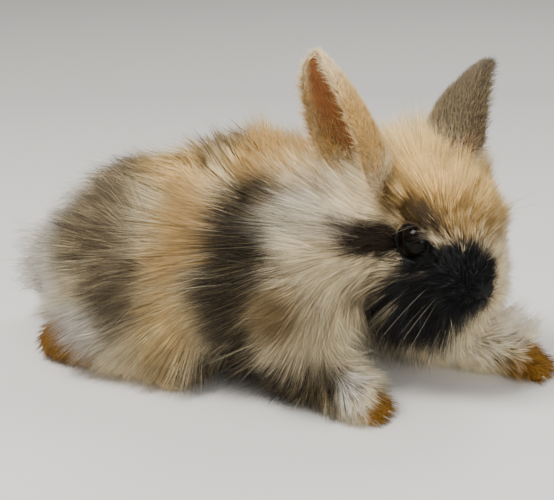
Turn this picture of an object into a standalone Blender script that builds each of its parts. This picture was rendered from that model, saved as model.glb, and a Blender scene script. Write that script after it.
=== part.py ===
"""Lionhead rabbit kit, crouching low with its head turned a little to its right.

A still, life-size model in metres, +Z up, +X the way the body faces and +Y to the rabbit's left.
Each part is its own closed form, carved clear of the parts before it by GAP. The forms reach half
the depth of the coat, and flat, tapered locks that follow the lie of the hair carry on to its tips.
Sizes are written in millimetres and scaled by MM.
"""

import itertools
import math
import random
from typing import NamedTuple

import bmesh
import bpy
from mathutils import Matrix, Vector
from mathutils.bvhtree import BVHTree

MM = 0.001
GAP = 0.3

# Depth of coat over the skin, and the share of it that each form includes
BODY_COAT = 13.0
HAUNCH_COAT = 11.0
LEG_COAT = 6.0
MANE_COAT = 17.0
CROWN_COAT = 11.0
CHEEK_COAT = 9.0
TAIL_COAT = 10.0
FILL = 0.5

# Meshes of the forms: the faces of each, the cells that melt its masses, the rounds of smoothing
HEAD_FACES = 1300
NECK_FACES = 240
TORSO_FACES = 540
TAIL_FACES = 200
FORE_LEG_FACES = 380
HIND_LEG_FACES = 300
HIND_FOOT_FACES = 300
BALL_CUTS = 3
LINK_CUTS = 2
SMOOTHING = 0.5
BODY_VOXEL = 1.5
TORSO_VOXEL = 2.0
FINE_VOXEL = 1.0
BODY_ROUNDS = 5
HEAD_ROUNDS = 6
LIMB_ROUNDS = 3
FLOOR_SIZE = 400.0

# The head, whose own frame is forwards, left and up from its centre
HEAD_CENTRE = (49.2, 5.6, 47.6)
HEAD_YAW = math.radians(35)
HEAD_PITCH = math.radians(15)

# Balls of flesh in the head's frame by centre and radii, those in pairs for the left side
SKULL = ((-6, 0, 3), (18, 17, 16))
CROWN = ((-9, 0, 8), (14, 12, 12))
BROW = ((2, 0, 6), (13, 11, 11))
NOSE = ((23.8, 0, -4.2), (3.4, 4.2, 3.2))
CHIN = ((13, 0, -15), (8, 6, 5))
CHEEK = ((-3, 9, -7), (13, 8, 11))
JOWL = ((4, 9.5, -8), (10, 7.5, 10))
WHISKER_PAD = ((17.5, 4.2, -8), (7, 5.6, 5.6))
ORBIT = ((4, 8, 2.5), (11, 8.6, 9))

# Lengths of flesh by start, its radius, end and its radius
SNOUT = ((3, 0, 2), 15.5, (16, 0, -3), 9.5)
JAW = ((-2, 0, -7), 13.5, (13, 0, -9.5), 8.5)

# Eyes: the lids are a shell over the ball with an opening cut through it
EYE_CENTRE = (6.0, 11.4, 3.6)
EYE_RADIUS = 6.0
EYE_SEGMENTS = (16, 10)
LID_THICKNESS = 0.8
LID_OPENING = (5.4, 3.9)
LID_POINTS = 20
LID_CORNERS = 0.2
LID_LOOK = (0.32, 1.0, 0.12)
LID_LINE = (0.95, -0.3, -0.25)
LID_CUT = ((2.0, 0.72), (10.0, 1.12))

# Grooves of the left half of the face by places sideways and upwards, and their radii
FACE_DISTANCE = 60.0
NOSTRIL = ([(1.9, -4.6), (3.0, -3.6)], 0.75)
MOUTH = ([(0, -9.2), (3.2, -11.2), (5.6, -12.0), (7.4, -11.6)], 0.6)
LIP_SPLIT = ([(0, -5.8), (0, -9.2)], 0.5)
GROOVE_CELLS = 3
GROOVE_FACES = 0.08

# Ears, in the head's frame: base, bend and tip of the spine, and the way that the cup opens.
# The curl is the turn of the leaf round its cup at base, middle and tip, in degrees.
EAR_SHAPES = {
    -1: (((-12, -8.5, 9), (-21.5, -15.8, 33), (-27, -33.8, 50.9)), (-0.06, -0.99, 0.12)),
    1: (((-12, 1.5, 12), (-15, -5.5, 40.5), (-19, 20.5, 43.7)), (0.40, 0.91, 0.05)),
}
EAR_WIDTH = 25.5
EAR_BASE_SHARE = 0.55
EAR_CURLS = (240, 165, 118)
EAR_POINT = 2.2
EAR_THICKNESS = 2.0
EAR_TAPER = 0.4
EAR_LEAST_RADIUS = 0.8
EAR_RINGS = 10
EAR_STEPS = 6

# Body and hind legs
RUMP = ((-45, 0, 29), (25, 20, 21))
BARREL = ((-20, 0, 31), (30, 20, 24))
CHEST = ((8, 0, 33), (24, 19, 22))
WITHERS = ((-8, 2, 50), (17, 11, 13))
BELLY = ((-2, 0, 18.5), (26, 17, 13))
NECK = ((4, 1, 40), 16, (18, 3, 43), 14)
TAIL = ((-66, 1, 24), 6.5, (-80, 1, 20), 5)
HAUNCH = ((-44, 17, 26), (22, 13, 20))
KNEE = ((-25, 20, 18), (14, 10, 13))
SHANK = ((-25, 22, 14), 8, (-62, 24, 10), 7)
SHOULDER = ((12, 15, 27), (12, 8, 13))

# Paws: places on the left side, and how far the left foreleg is stretched past the right one
HIND_JOINTS = (((-65, 26, 6.0), 6.4), ((-48, 27, 4.8), 5.6), ((-26, 28, 4.6), 5.4))
ELBOW = ((14, 20, 22), 8.5)
WRIST = ((22, 23.75, 10), 6.0)
FORE_PAW = ((38, 25, 4.9), 5.6)
LEFT_REACH = 35.0
REACH_SHARES = (0.2, 0.6, 1.0)
FLAT_DEPTH = 0.7
TOES = 4
TOE_ROOT = 0.7
TOE_STEP = 0.9
FORE_TOES = {"spread": 3.3, "length": 6.5, "radius": 2.6}
HIND_TOES = {"spread": 3.1, "length": 7.0, "radius": 2.7}

# Locks: how far the root is sunk, and the sizes and heights tried to lay one over its neighbours.
# Rings go by share of the length, rise, share of the lift, and shares of the width and depth.
SEED = 20
ROOT_SINK = 3.0
LOCK_DEPTH = 3.2
LOCK_RINGS = (
    (-0.06, -ROOT_SINK, 0.0, 0.75, 1.0),
    (0.34, 0.8, 0.8, 1.0, 1.0),
    (0.72, 0.4, 1.0, 0.62, 0.55),
)
LOCK_TIP = (-0.6, 0.85)
LIFTS = (0.0, 1.5, 3.0, 4.5, 6.5, 9.0)
SHORTENINGS = (1.0, 0.75, 0.55)
LEVELLINGS = (1.0, 0.45, 0.0)
SIZE_SPREAD = 0.15
SWAY = 0.18
SCATTER = 0.2
NUDGE = 2.0
SEEK_DISTANCE = 90.0
SEEK_MARGIN = 0.6
LEAST_FACING = 0.2
CROWN_LINE = 4.0
FLOOR_CLEARANCE = 0.4


class Locks(NamedTuple):
    """Rows of locks round an axis, with angles in degrees from straight up."""

    start: tuple
    end: tuple
    rows: int
    angles: tuple
    spacing: float
    length: float
    width: float
    rise: float = 2.0
    most_lift: float = 9.0


TAIL_LOCKS = Locks((-70, 1, 23), (-82, 1, 20), 2, (-150, 150), 75, 17, 12)
HAUNCH_LOCKS = Locks((-64, 0, 24), (-16, 0, 20), 4, (35, 125), 26, 23, 16, 3)
BACK_LOCKS = Locks((-70, 0, 32), (34, 0, 30), 8, (-150, 150), 32, 25, 18, 4)
HACKLE_LOCKS = Locks((-14, 2, 50), (4, 2, 50), 3, (-45, 45), 22, 16, 10, 8)
FRINGE_LOCKS = Locks((-4, 0, 30), (16, 0, 30), 3, (80, 140), 20, 15, 11)
FORELEG_LOCKS = Locks((6, 0, 20), (20, 0, 18), 2, (50, 130), 26, 17, 12)
REACH_LOCKS = Locks((26, 16, 15), (48, 22, 9), 3, (-60, 60), 40, 14, 9)
MANE_LOCKS = Locks((-8, 1, 40), (26, 3, 44), 5, (-170, 170), 28, 29, 15, 4)
CROWN_LOCKS = Locks((-18, 0, 2), (6, 0, 2), 4, (-60, 60), 30, 13, 11, 0.5, 1.5)
CHEEK_LOCKS = Locks((-12, 0, -4), (5, 0, -6), 4, (66, 294), 29, 15, 11, 0.5, 6.5)

# Coat colours, linear
COLOURS = {
    "coat_cream": ((0.62, 0.47, 0.31, 1), 0.9),
    "coat_fawn": ((0.50, 0.33, 0.17, 1), 0.9),
    "coat_smoke": ((0.13, 0.11, 0.085, 1), 0.9),
    "coat_white": ((0.68, 0.63, 0.55, 1), 0.9),
    "coat_ochre": ((0.45, 0.27, 0.08, 1), 0.9),
    "eye_gloss": ((0.006, 0.005, 0.005, 1), 0.08),
}


def head_frame():
    """Matrix that turns a place in the head's frame into one in the body's."""
    forwards = Vector((
        math.cos(HEAD_PITCH) * math.cos(HEAD_YAW),
        -math.cos(HEAD_PITCH) * math.sin(HEAD_YAW),
        -math.sin(HEAD_PITCH),
    ))
    left = Vector((math.sin(HEAD_YAW), math.cos(HEAD_YAW), 0))
    frame = Matrix((forwards, left, forwards.cross(left))).transposed().to_4x4()
    frame.translation = Vector(HEAD_CENTRE)
    return frame


HEAD = head_frame()
BODY = Matrix.Identity(4)


def sided(place, side):
    """The place on one side of the animal, +1 left and -1 right."""
    return Vector((place[0], place[1] * side, place[2]))


def clear_scene():
    for obj in list(bpy.data.objects):
        bpy.data.objects.remove(obj, do_unlink=True)


def make_materials():
    made = {}
    for name, (colour, roughness) in COLOURS.items():
        made[name] = bpy.data.materials.new(name)
        made[name].use_nodes = True
        made[name].diffuse_color = colour
        shader = made[name].node_tree.nodes["Principled BSDF"]
        shader.inputs["Base Color"].default_value = colour
        shader.inputs["Roughness"].default_value = roughness
        shader.inputs["Metallic"].default_value = 0.0
    return made


def object_from(bm, name):
    """A new object with the bmesh's shape, and frees the bmesh."""
    mesh = bpy.data.meshes.new(name)
    bmesh.ops.recalc_face_normals(bm, faces=bm.faces)
    bm.to_mesh(mesh)
    bm.free()
    obj = bpy.data.objects.new(name, mesh)
    bpy.context.scene.collection.objects.link(obj)
    return obj


def apply_modifiers(obj):
    """Keeps the evaluated shape as the object's own."""
    bpy.context.view_layer.update()
    graph = bpy.context.evaluated_depsgraph_get()
    mesh = bpy.data.meshes.new_from_object(obj.evaluated_get(graph), depsgraph=graph)
    obj.modifiers.clear()
    obj.data = mesh


def boolean(obj, operation, other):
    """Joins or cuts with another object, which is then removed."""
    modifier = obj.modifiers.new("boolean", "BOOLEAN")
    modifier.operation = operation
    modifier.solver = "EXACT"
    modifier.object = other
    apply_modifiers(obj)
    bpy.data.objects.remove(other, do_unlink=True)


def keep_largest(obj):
    """Leaves only the closed surface that holds the most volume."""
    bm = bmesh.new()
    bm.from_mesh(obj.data)
    bmesh.ops.triangulate(bm, faces=bm.faces)
    unseen = set(bm.faces)
    shells = []
    while unseen:
        shell = [unseen.pop()]
        for face in shell:
            for edge in face.edges:
                for other in edge.link_faces:
                    if other in unseen:
                        unseen.remove(other)
                        shell.append(other)
        volume = sum(f.verts[0].co.dot(f.verts[1].co.cross(f.verts[2].co)) for f in shell)
        shells.append((volume, shell))
    shells.sort(key=lambda pair: pair[0])
    spare = [face for _, shell in shells[:-1] for face in shell]
    bmesh.ops.delete(bm, geom=spare, context="FACES")
    bm.to_mesh(obj.data)
    bm.free()


def add_ball(bm, centre, radii, frame=BODY, grow=0.0):
    """An ellipsoid, placed and turned by the frame of its part."""
    scale = Matrix.Diagonal([r + grow for r in radii]).to_4x4()
    place = Matrix.Scale(MM, 4) @ frame @ Matrix.Translation(centre) @ scale
    bmesh.ops.create_icosphere(bm, subdivisions=BALL_CUTS, radius=1, matrix=place)


def add_link(bm, start, start_radius, end, end_radius, frame=BODY, grow=0.0):
    """The hull of two balls, for a length of limb."""
    balls = bmesh.new()
    for centre, radius in ((start, start_radius), (end, end_radius)):
        place = Matrix.Translation(frame @ Vector(centre)) @ Matrix.Scale(radius + grow, 4)
        place = Matrix.Scale(MM, 4) @ place
        bmesh.ops.create_icosphere(balls, subdivisions=LINK_CUTS, radius=1, matrix=place)
    hull = bmesh.new()
    points = [hull.verts.new(v.co) for v in balls.verts]
    bmesh.ops.convex_hull(hull, input=points)
    bmesh.ops.delete(hull, geom=[v for v in hull.verts if not v.link_faces], context="VERTS")
    mesh = bpy.data.meshes.new("link")
    hull.to_mesh(mesh)
    bm.from_mesh(mesh)
    bpy.data.meshes.remove(mesh)
    balls.free()
    hull.free()


def form_from(bm, name, faces, voxel=BODY_VOXEL, rounds=BODY_ROUNDS):
    """Melts the masses in the bmesh into one smooth closed form of about so many faces."""
    form = object_from(bm, name)
    remesh = form.modifiers.new("remesh", "REMESH")
    remesh.mode = "VOXEL"
    remesh.voxel_size = voxel * MM
    smooth = form.modifiers.new("smooth", "SMOOTH")
    smooth.factor = SMOOTHING
    smooth.iterations = rounds
    apply_modifiers(form)
    thin = form.modifiers.new("thin", "DECIMATE")
    thin.ratio = min(1.0, faces / (2 * len(form.data.polygons)))
    apply_modifiers(form)
    keep_largest(form)
    return form


def envelope_of(form):
    """A plain copy of the form for carving its neighbours, taken before its own details."""
    envelope = form.copy()
    envelope.data = form.data.copy()
    envelope.name = form.name + "_envelope"
    envelope.hide_render = True
    envelope.display_type = "WIRE"
    bpy.context.scene.collection.objects.link(envelope)
    return envelope


def carve(form, envelopes):
    """Cuts the form clear of its neighbours by GAP."""
    for envelope in envelopes:
        cutter = envelope_of(envelope)
        grow = cutter.modifiers.new("grow", "DISPLACE")
        grow.mid_level = 0.0
        grow.strength = GAP * MM
        apply_modifiers(cutter)
        boolean(form, "DIFFERENCE", cutter)
    keep_largest(form)


def cut_floor(form):
    """Takes away what lies under the floor, which leaves the flat that the part rests on."""
    slab = bmesh.new()
    size = FLOOR_SIZE * MM
    place = Matrix.Translation((0, 0, -size / 2))
    bmesh.ops.create_cube(slab, size=size, matrix=place)
    boolean(form, "DIFFERENCE", object_from(slab, "floor_cutter"))
    keep_largest(form)


def add_globe(bm, place, radius):
    """A ball in meridians, for an eye or its lids."""
    around, down = EYE_SEGMENTS
    bmesh.ops.create_uvsphere(bm, u_segments=around, v_segments=down, radius=radius * MM, matrix=place)


def build_eye(name, side):
    bm = bmesh.new()
    place = Matrix.Translation(HEAD @ sided(EYE_CENTRE, side) * MM)
    add_globe(bm, place, EYE_RADIUS)
    return object_from(bm, name)


def ear_ring(side, share):
    """Centre, axes, curl, radius and thickness of the ear's leaf at a share of its height."""
    points, opening = EAR_SHAPES[side]
    base, bend, tip = (Vector(point) for point in points)
    opening = Vector(opening)
    spine = base * (1 - share) ** 2 + bend * 2 * share * (1 - share) + tip * share * share
    along = ((bend - base) * (1 - share) + (tip - bend) * share).normalized()
    facing = (opening - along * opening.dot(along)).normalized()
    root, middle, end = EAR_CURLS
    if share < 0.5:
        curl = math.radians(root + (middle - root) * 2 * share)
        width = EAR_WIDTH * (EAR_BASE_SHARE + (1 - EAR_BASE_SHARE) * 2 * share)
    else:
        curl = math.radians(middle + (end - middle) * (2 * share - 1))
        width = EAR_WIDTH * math.sqrt(max(0.0, 1 - (2 * share - 1) ** EAR_POINT))
    radius = max(EAR_LEAST_RADIUS, width / 2 / math.sin(min(curl / 2, math.pi / 2)))
    wall = min(EAR_THICKNESS * (1 - EAR_TAPER * share), radius * (1 - EAR_TAPER))
    return spine, facing, along.cross(facing), curl, radius, wall


def build_ear(name, side):
    """A cupped leaf that is a tube at its base and narrows to a round tip."""
    bm = bmesh.new()
    rows = []
    for n in range(EAR_RINGS + 1):
        spine, facing, across, curl, radius, wall = ear_ring(side, n / EAR_RINGS)
        outer = [curl * (k / EAR_STEPS - 0.5) for k in range(EAR_STEPS + 1)]
        row = []
        for shell, turns in ((radius, outer), (radius - wall, reversed(outer))):
            for turn in turns:
                inwards = facing * (radius - shell * math.cos(turn))
                spot = spine + inwards + across * shell * math.sin(turn)
                row.append(bm.verts.new((HEAD @ spot) * MM))
        rows.append(row)
    count = len(rows[0])
    for low, high in zip(rows, rows[1:]):
        for k in range(count):
            bm.faces.new((low[k], low[(k + 1) % count], high[(k + 1) % count], high[k]))
    for row in (rows[0], rows[-1]):
        for k in range(EAR_STEPS):
            bm.faces.new((row[k], row[k + 1], row[count - 2 - k], row[count - 1 - k]))
    bmesh.ops.triangulate(bm, faces=bm.faces)
    return object_from(bm, name)


def add_lids(head, side):
    """A thin shell over the eyeball, with the opening between the lids cut out of it."""
    centre = sided(EYE_CENTRE, side)
    shell = bmesh.new()
    add_globe(shell, Matrix.Translation(HEAD @ centre * MM), EYE_RADIUS + GAP + LID_THICKNESS)
    boolean(head, "UNION", object_from(shell, "lid_shell"))
    look = sided(LID_LOOK, side).normalized()
    along = sided(LID_LINE, side)
    along = (along - look * along.dot(look)).normalized()
    above = look.cross(along)
    opening = bmesh.new()
    rows = []
    for distance, spread in LID_CUT:
        row = []
        for k in range(LID_POINTS):
            turn = 2 * math.pi * k / LID_POINTS
            sideways = along * LID_OPENING[0] * math.cos(turn)
            upwards = above * LID_OPENING[1] * math.sin(turn) * abs(math.sin(turn)) ** LID_CORNERS
            spot = centre + look * distance + (sideways + upwards) * spread
            row.append(opening.verts.new((HEAD @ spot) * MM))
        rows.append(row)
    for k in range(LID_POINTS):
        after = (k + 1) % LID_POINTS
        opening.faces.new((rows[0][k], rows[0][after], rows[1][after], rows[1][k]))
    opening.faces.new(rows[0])
    opening.faces.new(rows[1])
    boolean(head, "DIFFERENCE", object_from(opening, "lid_opening"))


def on_face(head, sideways, upwards):
    """The place in the head's frame where the face's front lies, seen straight from ahead."""
    start = HEAD @ Vector((FACE_DISTANCE, sideways, upwards)) * MM
    towards = HEAD.to_3x3() @ Vector((-1, 0, 0))
    found, spot, _, _ = head.ray_cast(start, towards)
    return HEAD.inverted() @ (spot / MM)


def cut_groove(head, route, radius):
    """Sinks a groove into the face along a route of (sideways, upwards) places."""
    bm = bmesh.new()
    spots = [on_face(head, *place) for place in route]
    for start, end in zip(spots, spots[1:]):
        add_link(bm, start, radius, end, radius, HEAD)
    groove = object_from(bm, "groove")
    remesh = groove.modifiers.new("remesh", "REMESH")
    remesh.mode = "VOXEL"
    remesh.voxel_size = radius * MM / GROOVE_CELLS
    thin = groove.modifiers.new("thin", "DECIMATE")
    thin.ratio = GROOVE_FACES
    apply_modifiers(groove)
    boolean(head, "DIFFERENCE", groove)


def cut_face(head):
    """Nostrils, the split below the nose and the line of the mouth."""
    for side in (-1, 1):
        for route, radius in (NOSTRIL, MOUTH):
            cut_groove(head, [(sideways * side, upwards) for sideways, upwards in route], radius)
    cut_groove(head, *LIP_SPLIT)


def add_mass(bm, mass, side=1, frame=BODY, grow=0.0):
    """A named ball of flesh on one side, grown by the share of coat that it includes."""
    centre, radii = mass
    add_ball(bm, sided(centre, side), radii, frame, grow)


def add_length(bm, length, side=1, frame=BODY, grow=0.0):
    """A named length of flesh on one side, grown in the same way."""
    start, start_radius, end, end_radius = length
    add_link(bm, sided(start, side), start_radius, sided(end, side), end_radius, frame, grow)


def build_head(eyes, ears):
    bm = bmesh.new()
    crown = CROWN_COAT * FILL
    cheek = CHEEK_COAT * FILL / 2
    add_mass(bm, SKULL, frame=HEAD)
    add_mass(bm, CROWN, frame=HEAD, grow=crown)
    add_mass(bm, BROW, frame=HEAD, grow=crown / 2)
    for length in (SNOUT, JAW):
        add_length(bm, length, frame=HEAD)
    for mass in (NOSE, CHIN):
        add_mass(bm, mass, frame=HEAD)
    for side in (-1, 1):
        add_mass(bm, CHEEK, side, HEAD, 2 * cheek)
        add_mass(bm, JOWL, side, HEAD, cheek)
        add_mass(bm, WHISKER_PAD, side, HEAD)
        add_mass(bm, ORBIT, side, HEAD)
    head = form_from(bm, "head", HEAD_FACES, FINE_VOXEL, HEAD_ROUNDS)
    envelope = envelope_of(head)
    for side in (-1, 1):
        add_lids(head, side)
    cut_face(head)
    carve(head, eyes + ears)
    cut_floor(head)
    return head, envelope


def fore_leg_joints(side):
    """Elbow, wrist and paw. The left leg is stretched further forwards."""
    reach = LEFT_REACH if side > 0 else 0.0
    joints = []
    for (place, radius), share in zip((ELBOW, WRIST, FORE_PAW), REACH_SHARES):
        joints.append((sided(place, side) + Vector((share * reach, 0, 0)), radius))
    return joints


def add_toes(bm, heel, paw, spread, length, radius):
    """Short round toes fanned out in front of a paw."""
    ahead = (paw - heel).to_2d().to_3d().normalized()
    across = Vector((-ahead.y, ahead.x, 0))
    for n in range(TOES):
        share = n - (TOES - 1) / 2
        base = paw + across * (share * spread * TOE_ROOT)
        tip = paw + across * (share * spread) + ahead * (length - TOE_STEP * abs(share))
        tip.z = radius - FLAT_DEPTH
        add_link(bm, base, radius, tip, radius)


def build_fore_leg(name, side, others):
    bm = bmesh.new()
    elbow, wrist, paw = fore_leg_joints(side)
    add_mass(bm, SHOULDER, side, grow=LEG_COAT * FILL)
    add_link(bm, *elbow, *wrist, grow=LEG_COAT * FILL / 2)
    add_link(bm, *wrist, *paw)
    add_toes(bm, wrist[0], paw[0], **FORE_TOES)
    leg = form_from(bm, name, FORE_LEG_FACES, FINE_VOXEL, LIMB_ROUNDS)
    envelope = envelope_of(leg)
    carve(leg, others)
    cut_floor(leg)
    return leg, envelope


def build_hind_foot(name, side):
    bm = bmesh.new()
    heel, middle, ball = ((sided(place, side), radius) for place, radius in HIND_JOINTS)
    add_link(bm, *heel, *middle)
    add_link(bm, *middle, *ball)
    add_toes(bm, heel[0], ball[0], **HIND_TOES)
    foot = form_from(bm, name, HIND_FOOT_FACES, FINE_VOXEL, LIMB_ROUNDS)
    envelope = envelope_of(foot)
    cut_floor(foot)
    return foot, envelope


def build_hind_leg(name, side, others):
    """Haunch and shank down to the ankle, with the knee drawn up beside the belly."""
    bm = bmesh.new()
    for mass in (HAUNCH, KNEE):
        add_mass(bm, mass, side, grow=HAUNCH_COAT * FILL)
    add_length(bm, SHANK, side)
    leg = form_from(bm, name, HIND_LEG_FACES)
    envelope = envelope_of(leg)
    carve(leg, others)
    cut_floor(leg)
    return leg, envelope


def build_tail(name):
    bm = bmesh.new()
    add_length(bm, TAIL, grow=TAIL_COAT * FILL)
    tail = form_from(bm, name, TAIL_FACES)
    envelope = envelope_of(tail)
    cut_floor(tail)
    return tail, envelope


def build_torso(name, others):
    bm = bmesh.new()
    for mass in (RUMP, BARREL, CHEST, WITHERS, BELLY):
        add_mass(bm, mass, grow=BODY_COAT * FILL)
    torso = form_from(bm, name, TORSO_FACES, TORSO_VOXEL)
    carve(torso, others)
    cut_floor(torso)
    return torso


def build_neck(name, others):
    bm = bmesh.new()
    add_length(bm, NECK, grow=MANE_COAT * FILL)
    neck = form_from(bm, name, NECK_FACES)
    envelope = envelope_of(neck)
    carve(neck, others)
    cut_floor(neck)
    return neck, envelope


class Coat:
    """Lays locks on the parts one after another, each clear of all the parts before it."""

    def __init__(self, nodes):
        self.nodes = nodes
        self.trees = {node.name: self.tree_of(node) for node in nodes}
        self.rng = random.Random()

    @staticmethod
    def tree_of(node):
        bm = bmesh.new()
        bm.from_mesh(node.data)
        bmesh.ops.scale(bm, vec=(1 / MM, 1 / MM, 1 / MM), verts=bm.verts)
        tree = BVHTree.FromBMesh(bm)
        bm.free()
        return tree

    def seen_spot(self, name, start, towards):
        """Where a ray first meets the part from outside, or None where another part hides it."""
        spot, normal, _, distance = self.trees[name].ray_cast(start, towards)
        if spot is None or normal.dot(towards) > -LEAST_FACING:
            return None
        for other, tree in self.trees.items():
            if other != name:
                hit = tree.ray_cast(start, towards)
                if hit[0] is not None and hit[3] < distance + SEEK_MARGIN:
                    return None
        return spot, normal

    def lock(self, spot, normal, lie, length, width, lift, margin=0.0):
        """Points and faces of one flat lock: a sunk root, two broad rings and a tip."""
        lie = (lie - normal * lie.dot(normal)).normalized()
        across = normal.cross(lie)
        points = []
        for along, rise, lifted, broad, deep in LOCK_RINGS:
            middle = spot + lie * (along * length) + normal * (rise + lifted * lift)
            half = across * (0.5 * width * broad + margin)
            thick = normal * (0.5 * LOCK_DEPTH * deep + margin)
            points += [middle + half, middle + thick, middle - half, middle - thick]
        sink, lifted = LOCK_TIP
        points.append(spot + lie * (length + margin) + normal * (lifted * lift + sink))
        faces = [(3, 2, 1, 0)]
        for ring in (0, 4):
            for k in range(4):
                low, high = ring + k, ring + (k + 1) % 4
                faces.append((low, high, high + 4, low + 4))
        faces += [(8 + k, 8 + (k + 1) % 4, 12) for k in range(4)]
        return points, faces

    def is_clear(self, name, points, faces):
        if min(point.z for point in points) < FLOOR_CLEARANCE:
            return False
        tree = BVHTree.FromPolygons(points, faces)
        return not any(tree.overlap(other) for key, other in self.trees.items() if key != name)

    def grow_on(self, node, spots, locks, lie_at):
        """Fuses a lock onto the part at each spot where one fits, bowed up by at least the rise."""
        collection = bpy.data.collections.new("locks")
        for spot, normal in spots:
            lie = lie_at(spot, normal)
            length = locks.length * self.rng.uniform(1 - SIZE_SPREAD, 1 + SIZE_SPREAD)
            width = locks.width * self.rng.uniform(1 - SIZE_SPREAD, 1 + SIZE_SPREAD)
            lie = lie + normal.cross(lie) * self.rng.uniform(-SWAY, SWAY)
            placed = self.first_clear(node.name, spot, normal, lie, length, width, locks)
            if placed:
                bm = bmesh.new()
                verts = [bm.verts.new(point * MM) for point in placed[0]]
                for face in placed[1]:
                    bm.faces.new([verts[k] for k in face])
                bmesh.ops.triangulate(bm, faces=bm.faces)
                lock = object_from(bm, "lock")
                bpy.context.scene.collection.objects.unlink(lock)
                collection.objects.link(lock)
        bpy.context.scene.collection.children.link(collection)
        modifier = node.modifiers.new("locks", "BOOLEAN")
        modifier.operation = "UNION"
        modifier.solver = "EXACT"
        modifier.operand_type = "COLLECTION"
        modifier.collection = collection
        apply_modifiers(node)
        for lock in list(collection.objects):
            bpy.data.objects.remove(lock, do_unlink=True)
        bpy.data.collections.remove(collection)
        keep_largest(node)
        self.trees[node.name] = self.tree_of(node)

    def first_clear(self, name, spot, normal, lie, length, width, locks):
        """The lowest and longest lay of the lock that clears every other part, or None."""
        levels = LEVELLINGS if abs(lie.x) > 0.5 else LEVELLINGS[:1]
        lifts = [lift for lift in LIFTS if lift <= locks.most_lift]
        for share, level, more in itertools.product(SHORTENINGS, levels, lifts):
            way = Vector((lie.x, lie.y, lie.z * level))
            size = (length * share, width * share ** 0.5, locks.rise + more)
            if self.is_clear(name, *self.lock(spot, normal, way, *size, GAP)):
                return self.lock(spot, normal, way, *size)
        return None

    def rows_around(self, name, locks, side=1, frame=BODY):
        """Staggered rows of spots round the axis of the locks, mirrored for the right side."""
        self.rng.seed(SEED)
        spots = []
        start, end = frame @ Vector(locks.start), frame @ Vector(locks.end)
        low, high = sorted(angle * side for angle in locks.angles)
        axis = (end - start).normalized()
        upwards = frame.to_3x3() @ Vector((0, 0, 1))
        upwards = (upwards - axis * upwards.dot(axis)).normalized()
        sideways = upwards.cross(axis)
        for row in range(locks.rows):
            middle = start.lerp(end, row / (locks.rows - 1))
            angle = low + locks.spacing * 0.5 * (row % 2)
            while angle <= high:
                swing = math.radians(angle + self.rng.uniform(-SCATTER, SCATTER) * locks.spacing)
                outwards = upwards * math.cos(swing) + sideways * math.sin(swing)
                nudge = axis * self.rng.uniform(-NUDGE, NUDGE)
                found = self.seen_spot(name, middle + nudge + outwards * SEEK_DISTANCE, -outwards)
                if found:
                    spots.append(found)
                angle += locks.spacing
        return spots


def body_lie(spot, normal):
    """Hair runs to the rear, slopes towards the floor down the sides, and hangs on the breast."""
    if normal.x > 0.4:
        return Vector((0, 0.4 * normal.y, -1))
    return Vector((-1, 0, -0.25 - 0.45 * abs(normal.y)))


def leg_lie(spot, normal):
    """Hair on the forelegs runs down and to the rear."""
    return Vector((-0.8, 0, -0.6))


def mane_lie(spot, normal):
    """The mane streams back and falls away from the neck."""
    return Vector((-1, 0.35 * normal.y, -0.45 - 0.5 * abs(normal.y)))


def head_lie(spot, normal):
    """Hair runs over the crown to the nape, and down the cheeks, most on the turn's outside."""
    local = HEAD.inverted() @ spot
    if local.z > CROWN_LINE:
        lie = Vector((-1, 0, 0))
    elif local.y > 0:
        lie = Vector((-0.3, 0, -1))
    else:
        lie = Vector((-0.9, 0, -1))
    return HEAD.to_3x3() @ lie


def grow_coat(parts):
    """Locks on every long-coated part, rear parts first so that those in front lie over them."""
    coat = Coat([node for group in parts.values() for node in group])
    tail, torso, neck, head = (parts[key][0] for key in ("tail", "torso", "neck", "head"))
    coat.grow_on(tail, coat.rows_around("tail", TAIL_LOCKS), TAIL_LOCKS, body_lie)
    for node, side in zip(parts["hind"], (-1, 1)):
        coat.grow_on(node, coat.rows_around(node.name, HAUNCH_LOCKS, side), HAUNCH_LOCKS, body_lie)
    back = coat.rows_around("torso", BACK_LOCKS)
    hackles = coat.rows_around("torso", HACKLE_LOCKS)
    coat.grow_on(torso, back, BACK_LOCKS, body_lie)
    coat.grow_on(torso, hackles, HACKLE_LOCKS, body_lie)
    for side in (-1, 1):
        coat.grow_on(torso, coat.rows_around("torso", FRINGE_LOCKS, side), FRINGE_LOCKS, leg_lie)
    for node, side in zip(parts["fore"], (-1, 1)):
        coat.grow_on(node, coat.rows_around(node.name, FORELEG_LOCKS, side), FORELEG_LOCKS, leg_lie)
    coat.grow_on(node, coat.rows_around(node.name, REACH_LOCKS), REACH_LOCKS, leg_lie)
    coat.grow_on(neck, coat.rows_around("neck", MANE_LOCKS), MANE_LOCKS, mane_lie)
    crown = coat.rows_around("head", CROWN_LOCKS, frame=HEAD)
    cheeks = coat.rows_around("head", CHEEK_LOCKS, frame=HEAD)
    coat.grow_on(head, crown, CROWN_LOCKS, head_lie)
    coat.grow_on(head, cheeks, CHEEK_LOCKS, head_lie)


def rest_origin(nodes):
    """Moves every part so that the origin is under the middle of the whole, on the floor."""
    corners = [node.matrix_world @ v.co for node in nodes for v in node.data.vertices]
    middle = Vector((
        (min(c.x for c in corners) + max(c.x for c in corners)) / 2,
        (min(c.y for c in corners) + max(c.y for c in corners)) / 2,
        min(c.z for c in corners),
    ))
    for node in nodes:
        node.data.transform(Matrix.Translation(-middle))


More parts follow.
